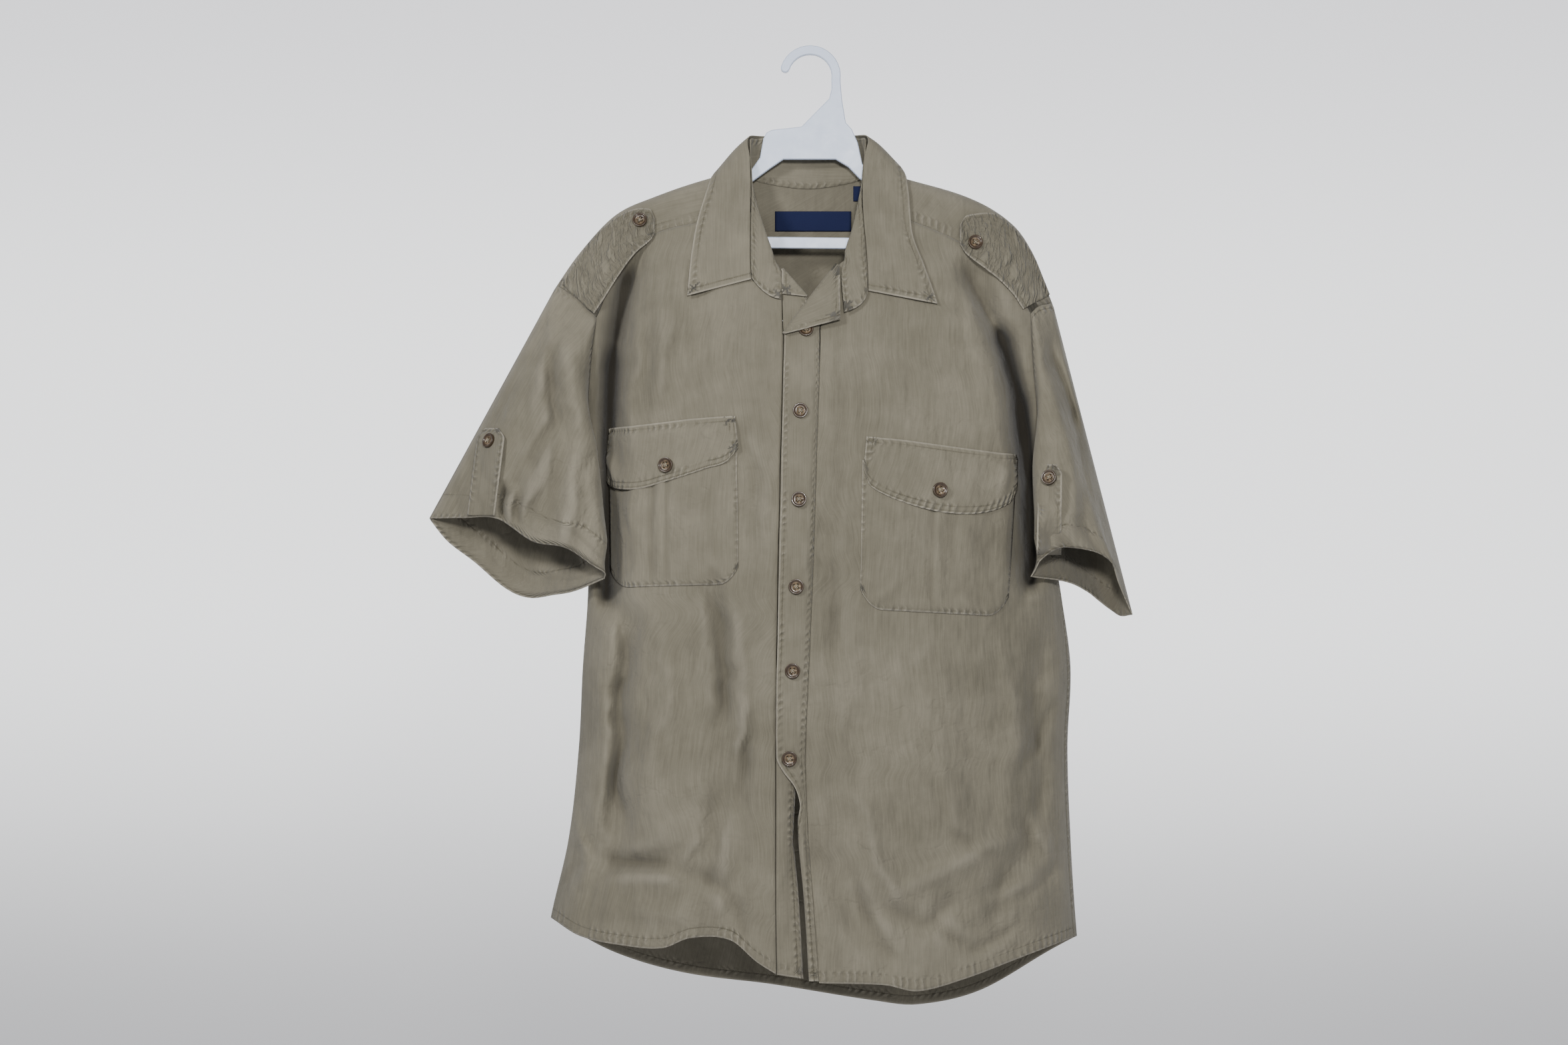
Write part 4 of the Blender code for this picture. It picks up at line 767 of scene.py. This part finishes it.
def makeLabel():
    finish = Finish("woven navy label", Roughness=0.85, Sheen_Weight=0.03, Specular_IOR_Level=0.2)
    weave = finish.noise(finish.cut(), 1800.0, 1.0)
    border = (1.0 - finish.value("edge").rise(0.6, 1.2)) * 0.5
    tone = finish.blend(weave, *labelLook["colours"])
    finish.feed("Base Color", finish.blend(border, tone, labelLook["edge"]))
    finish.bump(weave, labelLook["bump"], 0.3 * mm)
    return finish.material


# A button of radius 1: thickness, widths of the rim and of the slope to the dish, depth of the dish, the
# holes' distance from the middle each way and their radius, the thread's radius
buttonShape = {"sides": 40, "thick": 0.42, "rim": 0.17, "slope": 0.14, "dish": 0.15, "spread": 0.25,
               "hole": 0.125, "thread": 0.055, "rounding": 0.05}


def addPiece(name, mesh, look):
    mesh.materials.clear()
    mesh.materials.append(look)
    piece = bpy.data.objects.new(name, mesh)
    bpy.context.scene.collection.objects.link(piece)
    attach(piece, "root")
    return piece


def roundPart(radius, depth, location, turn=(0, 0, 0), sides=14):
    bpy.ops.object.select_all(action="DESELECT")
    bpy.ops.mesh.primitive_cylinder_add(vertices=sides, radius=radius, depth=depth, location=location,
                                        rotation=turn)
    bpy.ops.object.transform_apply(location=True, rotation=True, scale=True)
    return bpy.context.active_object


def useModifier(piece, kind, **settings):
    bpy.ops.object.select_all(action="DESELECT")
    bpy.context.view_layer.objects.active = piece
    piece.select_set(True)
    modifier = piece.modifiers.new("shape", kind)
    for key, value in settings.items():
        setattr(modifier, key, value)
    bpy.ops.object.modifier_apply(modifier="shape")


def makeButtonShape():
    shape = roundPart(1.0, buttonShape["thick"], (0, 0, 0), sides=buttonShape["sides"])
    bpy.ops.object.mode_set(mode="EDIT")
    bpy.ops.mesh.select_mode(type="FACE")
    bpy.ops.mesh.select_all(action="DESELECT")
    bpy.ops.object.mode_set(mode="OBJECT")
    for face in shape.data.polygons:
        face.select = face.normal.z > 0.9
    bpy.ops.object.mode_set(mode="EDIT")
    bpy.ops.mesh.inset(thickness=buttonShape["rim"])
    bpy.ops.mesh.inset(thickness=buttonShape["slope"], depth=-buttonShape["dish"])
    bpy.ops.object.mode_set(mode="OBJECT")
    useModifier(shape, "BEVEL", width=buttonShape["rounding"], segments=2, limit_method="ANGLE",
                angle_limit=0.4)
    spread, floor = buttonShape["spread"], buttonShape["thick"] / 2 - buttonShape["dish"]
    for x, y in ((1, 1), (1, -1), (-1, 1), (-1, -1)):
        hole = roundPart(buttonShape["hole"], 1.2, (x * spread, y * spread, 0))
        useModifier(shape, "BOOLEAN", operation="DIFFERENCE", object=hole)
        bpy.data.objects.remove(hole)
    threads = [roundPart(buttonShape["thread"], 2.6 * spread, (0, 0, floor + 0.05), (pi / 2, 0, turn), 10)
               for turn in (pi / 4, -pi / 4)]
    return shape, threads


# Puts the button's shape where each CAD button is, as large and turned the same way
def buildButtons():
    shape, threads = makeButtonShape()
    for name in [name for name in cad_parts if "button_" in name and name != "button_stand"]:
        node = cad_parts[name]
        points = np.array([node.matrix_world @ vertex.co for vertex in node.data.vertices])
        centre = (points.min(axis=0) + points.max(axis=0)) / 2
        axes = np.linalg.svd(points - points.mean(axis=0), full_matrices=False)[2]
        outward = axes[2] * (1 if axes[2] @ np.array((0, -1, 0.3)) > 0 else -1)
        offsets = points - centre
        heights = offsets @ outward
        radius = np.linalg.norm(offsets - np.outer(heights, outward), axis=1).max()
        sideways = np.cross((0, 0, 1.0), outward)
        sideways /= np.linalg.norm(sideways)
        upward = np.cross(outward, sideways)
        rise = (heights.max() + heights.min()) / 2
        spin = cos(len(name) * 1.7) * 0.5
        across, down = sideways * cos(spin) + upward * sin(spin), upward * cos(spin) - sideways * sin(spin)
        middle = centre + outward * rise
        flat = Matrix((*zip(across * radius, down * radius, outward * radius, middle), (0, 0, 0, 1)))
        for label, source in zip(("", "_thread_1", "_thread_2"), (shape, *threads)):
            mesh = source.data.copy()
            if not label:
                rim = mesh.attributes.new("rim", "FLOAT", "POINT")
                rim.data.foreach_set("value", [hypot(vertex.co.x, vertex.co.y) for vertex in mesh.vertices])
            mesh.transform(flat)
            piece = addPiece(name + "_made" + label, mesh, cotton if label else horn)
            if not label:
                mesh.shade_smooth()
                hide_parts(name)
    for piece in [shape] + threads:
        bpy.data.objects.remove(piece)


khaki, horn, plastic, navy, cotton = makeKhaki(), makeHorn(), makePlastic(), makeLabel(), makeCotton()
print("materials ready")

panelGrid = {"across": 96, "neckAcross": 16, "upper": 84, "lower": 128}


def buildFront(side):
    armX, neckX, seamX = frontCorners[side]
    tops = np.concatenate((mix(armX, neckX, steps(panelGrid["across"])),
                           mix(neckX, seamX, steps(panelGrid["neckAcross"])[1:])))
    top = topSeam(side, tops, seam / 2)
    outer, inner = panelEdges(side, top)
    share = np.clip((turnAt(tops, top) - outer) / (inner - outer), 0, 1)

    def point(drop):
        low, high = panelEdges(side, drop)
        return body(mix(low, high, share), drop)

    bottom = settle(point, frontHem[side])
    drops = spread(top, armpitDrop[side], bottom, panelGrid["upper"], panelGrid["lower"])
    points = np.array([point(row) for row in drops])
    # The deepest folds get extra depth for the colour only: a painted shadow in them
    deepRows = [row for row in frontCreases if row[5] > folds["deep"]]
    sheet("front_" + side, points, stitches=(("bottom", 9), ("bottom", 2)), edges=("bottom",),
          pitShadow=0.7 * foldDepth(deepRows, points[..., 0], points[..., 2]))


def buildBack():
    share = steps(128)

    def point(drop):
        right = nudge(backEdge("right", drop), drop, -sideGap / 2) + 360
        return body(mix(right, nudge(backEdge("left", drop), drop, sideGap / 2), share), drop)

    bottom = settle(point, backHem)
    middle = mix(armpitDrop["right"], armpitDrop["left"], share)
    drops = spread(np.full(len(share), backYokeSeamDrop + seam / 2), middle, bottom, 56, 104)
    sheet("back", np.array([point(row) for row in drops]), edges=("bottom",),
          stitches=(("bottom", 9), ("left", 2), ("left", 8), ("right", 2), ("right", 8)))


def frontSeamPoint(side, share):
    armX, neckX, _ = frontCorners[side]
    x = neckX + (armX - neckX) * share
    return np.array((x, -reachAt(x, topSeam(side, x, -seam / 2))))


def yokeOuter(s):
    def atBack(x):
        return np.array((x, reachAt(x, backYokeSeamDrop - seam / 2)))

    side, away = ("left", 1 - s) if s > 0.5 else ("right", s)
    tip, backX = (shoulderTip[side], 0), armholeBack[side][0][1]
    if away < tipStation:
        return mix(frontSeamPoint(side, 1), tip, away / tipStation)
    if away < backStation:
        return mix(tip, atBack(backX), (away - tipStation) / (backStation - tipStation))
    middle = (armholeBack["right"][0][1] + armholeBack["left"][0][1]) / 2
    return atBack(backX + (middle - backX) * (away - backStation) / (0.5 - backStation))


neckline = [(station, x, float(way * reachAt(x, drop))) for station, x, drop, way in neckRows]


def yokeFlat(s, out):
    flat = mix(along(neckline, s), yokeOuter(s), out)
    for side, away in (("right", s), ("left", 1 - s)):
        if away < tipStation:
            straight = mix(frontSeamPoint(side, 0), frontSeamPoint(side, 1), out)
            flat = flat + (frontSeamPoint(side, out) - straight) * (1 - away / tipStation)
    return flat


def buildYoke():
    half = np.concatenate((steps(16) * tipStation, tipStation + steps(14)[1:] * (backStation - tipStation),
                           backStation + steps(34)[1:] * (0.5 - backStation)))
    stations = np.concatenate((half, 1 - half[-2::-1]))
    gap = seam / 2 / yokeDepth
    flat = np.array([[yokeFlat(s, gap + (1 - 2 * gap) * out) for s in stations] for out in steps(44)])
    points = shoulder(flat[..., 0], flat[..., 1])
    sheet("yoke", points,
          stitches=(("left", 2), ("left", 8), ("right", 2), ("right", 8), ("bottom", 2), ("bottom", 8)))


def armhole(side, a):
    if side == "right":
        tip, frontEnd, backEnd = tipStation, 0, backStation
    else:
        tip, frontEnd, backEnd = 1 - tipStation, 1, 1 - backStation
    near = min(a, 1 - a)
    if near < tipStation:
        s = mix(tip, frontEnd if a < 0.5 else backEnd, near / tipStation)
        return shoulder(*yokeFlat(float(s), 1))
    share = (near - tipStation) / (0.5 - tipStation)
    if a <= 0.5:
        startDrop = along(frontTop[side], frontSeamPoint(side, 1)[0])[0]
        drop = mix(startDrop, armpitDrop[side], share)
        return body(frontEdge(side, drop), drop)
    drop = mix(backYokeSeamDrop, armpitDrop[side], share)
    return body(backEdge(side, drop), drop)


def clearOfBody(points, spare):
    centre, half, near, far = sectionAt(points[..., 2])
    depth = np.where(points[..., 1] < 0, near, far)
    away = np.hypot((points[..., 0] - centre) / half, points[..., 1] / depth)
    close = (spare > 0) & (away < 1 + spare)
    grow = np.where(close, mix(1, (1 + spare) / np.maximum(away, 0.01), np.minimum(spare / 0.02, 1)), 1)
    points[..., 0] = centre + (points[..., 0] - centre) * grow
    points[..., 1] *= grow
    return points


def sleevePoints(side, around, lengths):
    heads = np.array([armhole(side, a) for a in around])[None]
    a, k = np.meshgrid(around, lengths)
    share = np.where(a <= 0.5, 2 * a, 2 - 2 * a)
    near = a <= 0.5
    row = along(sleeveHem[side], share)
    bow = np.clip(np.sin(pi * share), 0, 1) ** 0.8
    points = mix(heads, np.where(near[..., None], row[..., :3], row[..., 3:]), k[..., None])
    swell = np.sin(pi * np.minimum(k, 1)) ** 0.7
    inner = np.exp(-(((share - 0.72) / 0.3) ** 2)) * ease(share, 0, 0.2) * (1 - ease(share, 0.86, 1))
    points[..., 0] += near * sleeveInner[side] * inner * ease(k, 0, 0.2) * (1 - 0.75 * ease(k, 0.6, 1))
    fade = ease(k, 0.02, 0.2) * ease(bow, 0.1, 0.6)
    dents = foldDepth(sleeveFolds[side], points[..., 0], points[..., 2])
    dents = dents + foldDepth(sleeveCreases[side], points[..., 0], points[..., 2])
    uneven = rumple(points[..., 0], points[..., 2], 51) * fade
    points[..., 1] += np.where(near, -sleeveSwell["near"] * bow * swell + dents * fade + uneven,
                               sleeveSwell["far"] * bow * swell + uneven)
    points[..., 0] += (-1 if side == "right" else 1) * sleeveGap * (1 - ease(k, 0, 0.2))
    return clearOfBody(points, 0.05 * ease(k, 0, 0.1) * ease(share, 0.4, 0.7))


sleeveCache = {}


def buildSleeve(side):
    halfRound = np.concatenate((steps(20) * tipStation, tipStation + steps(52)[1:] * (0.5 - tipStation)))
    around = np.concatenate((halfRound, 1 - halfRound[-2:0:-1]))
    points = sleevePoints(side, around, np.concatenate(([0, 0.015, 0.03], 0.05 + 0.95 * steps(84))))
    sleeveCache[side] = points[:, :len(halfRound)].reshape(-1, 3)
    sheet("sleeve_" + side, points, ring=True, edges=("bottom",),
          stitches=(("bottom", 2), ("bottom", 27), ("top", 5)))


def sleeveDepth(side, x, drop):
    near = sleeveCache[side]
    gap = np.hypot(near[:, 0] - x, near[:, 2] - drop)
    closest = np.argsort(gap)[:6]
    return np.average(near[closest, 1], weights=1 / (gap[closest] + 0.5))


def tabPoint(side, down, shares):
    top, low, width = tabRows[side]
    x, drop = mix(top, low, down)
    half = width / 2 * (0.45 + 0.55 * ease(down, -0.03, 0.12))
    xs = x + half * np.linspace(-1, 1, 7)
    depths = np.array([sleeveDepth(side, at, drop) for at in xs])
    slope, level = np.polyfit(xs, depths, 1)
    level += min(depths - slope * xs - level)
    at = x + half * shares
    out = 1.9 * hypot(1, slope) - 0.25 * rumple(at * 3, np.full(len(at), drop * 3), 77)
    return np.stack((at, slope * at + level - out, np.full(len(at), drop)), -1)


# The tab spans the sleeve's creases on its lower half
def buildTab(side):
    downs = np.concatenate((steps(8) * 0.12, 0.12 + steps(40)[1:] * 0.88))
    rows = np.array([tabPoint(side, down, np.linspace(-1, 1, 13)) for down in downs])
    depths = rows[:, :, 1]
    outer = depths.copy()
    for _ in range(3):
        outer[1:-1] = np.minimum(np.minimum(outer[:-2], outer[2:]), outer[1:-1])
    half = len(depths) // 2
    depths[half:] = outer[half:]
    for _ in range(8):
        depths[1:-1] = (depths[:-2] + 2 * depths[1:-1] + depths[2:]) / 4
    sheet("sleeve_tab_" + side, rows, edges=("left", "right", "top"),
          stitches=(("left", 3.5), ("right", 3.5), ("top", 3.5)))


def over(points, least):
    near = front(points[..., 0], points[..., 2])[..., 1] - least
    covered = points[..., 2] >= ridge(points[..., 0]) + 2
    points[..., 1] = np.where(covered, np.minimum(points[..., 1], near), points[..., 1])
    return points


def turnLine(turn, x):
    (startX, startDrop), (endX, endDrop) = turn["from"], turn["to"]
    return startDrop + (endDrop - startDrop) * min(max((x - startX) / (endX - startX), 0), 1)


def turnedCorner(turn, x, out):
    drop, radius = turnLine(turn, x), turn["radius"]
    bend = np.linspace(0.1, 0.9, 7) * pi
    bulge = radius * np.sin(bend)
    bent = front(x + turn["bulge"][0] * bulge, drop + turn["bulge"][1] * bulge,
                 out + radius * (1 - np.cos(bend)))
    length = max((turn["end"] - x) / turn["run"][0], turn["least"]) * steps(10)
    flat = front(x + turn["run"][0] * length, drop + turn["run"][1] * length, np.full(11, out + 2 * radius))
    return np.concatenate((bent, flat))


def settleOn(columnX, turn):
    drop = 240.0
    for _ in range(settleRounds):
        drop = turnLine(turn, float(columnX(drop)))
    return drop


def buildPlacket():
    hemDrop = 923.0

    def point(share, drop):
        free, seamX, _, _, _, curl = np.moveaxis(along(closingRows, drop), -1, 0)
        seamX = seamX - seam / 2 - 0.7 * ease(320 - np.asarray(drop, float), 0, 30)
        curl = np.maximum(curl, 0)
        width = seamX - free
        travel = (1 - share) * (width + np.radians(curl) * placketCurl)
        flat = np.minimum(travel, width)
        out = 0.5 + (overlapOut - 0.5) * ease(flat, 1, 7)
        angle = (travel - flat) / placketCurl
        x = seamX - flat - placketCurl * np.sin(angle)
        return front(x, drop, out - placketCurl * (1 - np.cos(angle)))

    grid = []
    for share in steps(16):
        top = settleOn(lambda drop: point(share, drop)[..., 0], placketTurn)
        out = 0.5 + (overlapOut - 0.5) * float(ease((1 - share) * 35, 1, 7))
        column = point(share, hemDrop + (top - hemDrop) * steps(240))
        grid.append(np.concatenate((column, turnedCorner(placketTurn, float(column[-1, 0]), out))))
    sheet("placket", np.swapaxes(grid, 0, 1), edges=("left", "top", "bottom"),
          stitches=(("left", 5), ("right", 5), ("top", 8), ("bottom", 4)))


def buildButtonStand():
    def point(share, drop):
        _, _, seamX, free, back, _ = np.moveaxis(along(closingRows, drop), -1, 0)
        return front(mix(seamX + seam, free, share), drop, -np.maximum(back, 0) * share ** 2)

    grid = []
    for share in steps(10):
        top = settleOn(lambda drop: point(share, drop)[..., 0], standTurn)
        hemDrop = 916.5 + 4 * share
        column = point(share, hemDrop + (top - hemDrop) * steps(200))
        grid.append(np.concatenate((column, turnedCorner(standTurn, float(column[-1, 0]), 0.0))))
    sheet("button_stand", np.swapaxes(grid, 0, 1), edges=("right", "top", "bottom"),
          stitches=(("right", 5), ("top", 8), ("bottom", 4)))


def buildCollarStand():
    s, share = np.meshgrid(steps(240), steps(14), indexing="ij")
    row = along(standRows, s)
    upper, middle, neck = row[..., :3], row[..., 3:6], row[..., 6:]
    share = share[..., None]
    lower = ease(s, 0.36, 0.42) * (1 - ease(s, 0.58, 0.64))
    neck = neck + np.stack((0 * lower, -0.6 * lower, 4.5 * lower), -1)
    bend = 2 * share * (1 - share)
    points = upper * (1 - share) ** 2 + neck * share ** 2 + middle * bend
    points = points + (middle - (upper + neck) / 2) * bend * 0.5
    sheet("collar_stand", points, edges=("top", "bottom"),
          stitches=(("left", 3), ("right", 3), ("top", 4), ("bottom", 4)))


def buildCollar():
    s, share = np.meshgrid(steps(300), steps(36), indexing="ij")
    row = along(leafRows, s)
    points = mix(row[..., :3], row[..., 3:], share[..., None])
    neck = ease(s, 0.24, 0.36) * (1 - ease(s, 0.64, 0.76))
    rise = np.sin(pi * share) * (1.5 + 3.0 * neck)
    points[..., 2] -= rise * neck
    points[..., 1] += rise * (ease(s, 0.36, 0.46) * (1 - ease(s, 0.54, 0.64)) * 2 - 1) * 0.6
    points[..., 1] += 0.35 * rumple(points[..., 0] * 1.6, points[..., 2] * 1.6, 63) * ease(share, 0, 0.2)
    least = 2.6 + 2.0 * (1 - ease(share, 0.0, 0.25)) * (1 - neck)
    points = np.where((neck < 0.9)[..., None], over(points.copy(), least), points)
    sheet("collar", points, edges=("right", "top", "bottom"),
          stitches=(("right", 6), ("top", 6), ("bottom", 6)))


def buildPocket(side):
    corners = pocketCorners[side]
    share, down = np.meshgrid(steps(52), steps(52))
    rise = corners["round"] * (np.maximum(np.abs(2 * share - 1) - 0.7, 0) / 0.3) ** 2.2
    top = mix(corners["top"][0], corners["top"][1], share[..., None])
    bottom = mix(corners["bottom"][0], corners["bottom"][1], share[..., None])
    bottom[..., 1] -= rise
    flat = mix(top, bottom, down[..., None])
    x, drop = flat[..., 0], flat[..., 1]
    inside = ease(np.minimum(share, 1 - share), 0, 0.06) * ease(1 - down, 0, 0.05)
    dents = rumple(x, drop, 83) * 0.5 - foldDepth(pocketCreases[side], x, drop) * 0.8
    out = 1.25 + 1.2 * inside + inside * dents
    # The pockets get 1.5 mm of extra fold depth for the colour only: painted shade over each pocket
    sheet("pocket_" + side, front(x, drop, np.maximum(out, 1.2)), wall=0.95, pitShadow=1.5,
          edges=("left", "right", "bottom"), stitches=(("left", 1.8), ("right", 1.8), ("bottom", 1.8)))


def buildFlap(side):
    share, down = np.meshgrid(steps(60), steps(28))
    row = along(flapRows[side], share)
    flat = mix(row[..., :2], row[..., 2:], down[..., None])
    x, drop = flat[..., 0], flat[..., 1]
    lift = mix(1.4, 3.6, ease(down, 0, 0.22)) + 1.1 * down
    dents = rumple(x * 1.4, drop * 1.4, 91) * 0.6 - foldDepth(flapCreases[side], x, drop)
    lift = lift + ease(down, 0.1, 0.4) * dents
    seams = [(edge, offset) for offset in (1.8, 6.5) for edge in ("left", "right", "bottom")]
    sheet("pocket_flap_" + side, front(x, drop, np.maximum(lift, 1.3 + 2.0 * ease(down, 0, 0.2))),
          edges=("left", "right", "top", "bottom"), stitches=seams + [("top", 5)])


def buildEpaulette(side):
    s, share = np.meshgrid(steps(80), steps(24), indexing="ij")
    row = along(epauletteRows[side], s)
    flat = mix(row[..., :2], row[..., 2:], share[..., None])
    x, drop = flat[..., 0], np.maximum(flat[..., 1], ridge(flat[..., 0]) + 5)
    inside = ease(np.minimum(share, 1 - share), 0, 0.15)
    crumple = softNoise(s * 21 + share * 2.4, share * 2.2, 5) * 1.7
    crumple = crumple + softNoise(s * 11 - share * 3, share * 4, 9) * 1.1
    crumple = crumple * inside * ease(s, 0.06, 0.22)
    sheet("epaulette_" + side, front(x, drop, epauletteOut + crumple, folded=0.0),
          edges=("left", "right", "top"), crush=1.0,
          stitches=(("left", 4.5), ("right", 4.5), ("top", 4.5)))


def buildLabels():
    for name, ((leftX, top), (rightX, bottom)) in labels.items():
        x, drop = np.meshgrid(np.linspace(leftX, rightX, 25), np.linspace(top, bottom, 13))
        points = body(180 - turnAt(x, drop), drop)
        points[..., 1] -= labelLook["inside"]
        sheet(name, points, wall=labelLook["wall"], look=navy,
              edges=("left", "right", "top", "bottom"))


buildBack()
buildYoke()
for side in ("right", "left"):
    buildFront(side)
    buildSleeve(side)
    print(side, "front and sleeve ready")
buildPlacket()
buildButtonStand()
buildCollarStand()
buildCollar()
for side in ("right", "left"):
    buildPocket(side)
    buildFlap(side)
    buildEpaulette(side)
    buildTab(side)
buildLabels()
print("cloth ready", sheetFacts)

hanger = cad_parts["hanger"]
hanger.data.materials.clear()
hanger.data.materials.append(plastic)
buildButtons()
print("buttons and hanger ready")


# Backdrop, in metres: the wall's distance, the floor's height, the bend between them, how far it reaches
# towards the camera, to the sides and up; colours by height (low to middle, middle to high), darker towards
# the floor and the top as painted shade; its own glow, which shows that painted shade too
stage = {"wall": 3.0, "floor": -1.75, "bend": 0.6, "reach": 6.0, "side": 7.0, "top": 4.0, "glow": 1.4,
         "low": (0.30, 0.30, 0.31, 1), "middle": (0.94, 0.95, 0.96, 1), "high": (0.70, 0.70, 0.73, 1),
         "lowToMiddle": (-1.8, -0.6), "middleToHigh": (-0.1, 1.0)}


def buildStage():
    profile = [(-stage["reach"], stage["floor"])]
    for angle in np.linspace(-pi / 2, 0, 13):
        profile.append((stage["wall"] - stage["bend"] + stage["bend"] * cos(angle),
                        stage["floor"] + stage["bend"] + stage["bend"] * sin(angle)))
    profile.append((stage["wall"], stage["top"]))
    points = [(x, y, z) for x in (-stage["side"], stage["side"]) for y, z in profile]
    count = len(profile)
    mesh = bpy.data.meshes.new("backdrop")
    mesh.from_pydata(points, [], [(i, i + count, i + count + 1, i + 1) for i in range(count - 1)])
    mesh.shade_smooth()
    backdrop = bpy.data.objects.new("backdrop", mesh)
    bpy.context.scene.collection.objects.link(backdrop)
    finish = Finish("pale backdrop", Roughness=0.95, Emission_Strength=stage["glow"])
    height = finish.parts(finish.place())[2]
    # Darker towards the floor and towards the top: painted shade, shown in the glow as well
    tone = finish.blend(height.rise(*stage["lowToMiddle"]), stage["low"], stage["middle"])
    tone = finish.blend(height.rise(*stage["middleToHigh"]), tone, stage["high"])
    finish.feed("Base Color", tone)
    finish.feed("Emission Color", tone)
    mesh.materials.append(finish.material)


def addLight(name, location, size, power):
    data = bpy.data.lights.new(name, "AREA")
    data.shape, data.size, data.energy, data.color = "DISK", size, power, lightColour
    light = bpy.data.objects.new(name, data)
    bpy.context.scene.collection.objects.link(light)
    light.location = location
    light.rotation_euler = (Vector(lightTarget) - Vector(location)).to_track_quat("-Z", "Y").to_euler()


# Lights: place in metres, size, power
lights = {"key": ((-1.25, -1.65, 0.55), 0.4, 28), "face": ((0.12, -1.95, 0.02), 0.25, 32),
          "fill": ((2.2, -2.6, 0.3), 2.2, 6), "top": ((0.2, -0.6, 2.0), 1.6, 8),
          "behind": ((0.9, 2.2, 0.6), 1.4, 16)}
lightTarget = (0, 0, -0.5)
lightColour = (1.0, 0.985, 0.96)
room = {"Color": (0.86, 0.88, 0.92, 1), "Strength": 0.26}
buildStage()
for name, (location, size, power) in lights.items():
    addLight(name, location, size, power)
world = bpy.data.worlds.new("soft room")
bpy.context.scene.world = world
world.use_nodes = True
for key, value in room.items():
    world.node_tree.nodes["Background"].inputs[key].default_value = value

view = {"location": ((eyeX - originX) * mm, -eyeDistance * mm, -eyeDrop * mm), "lens": 50, "sensor": 36}
camera = bpy.data.objects.new("camera", bpy.data.cameras.new("camera"))
bpy.context.scene.collection.objects.link(camera)
camera.location = view["location"]
camera.rotation_euler = (pi / 2, 0, 0)
camera.data.lens, camera.data.sensor_width = view["lens"], view["sensor"]
bpy.context.scene.camera = camera
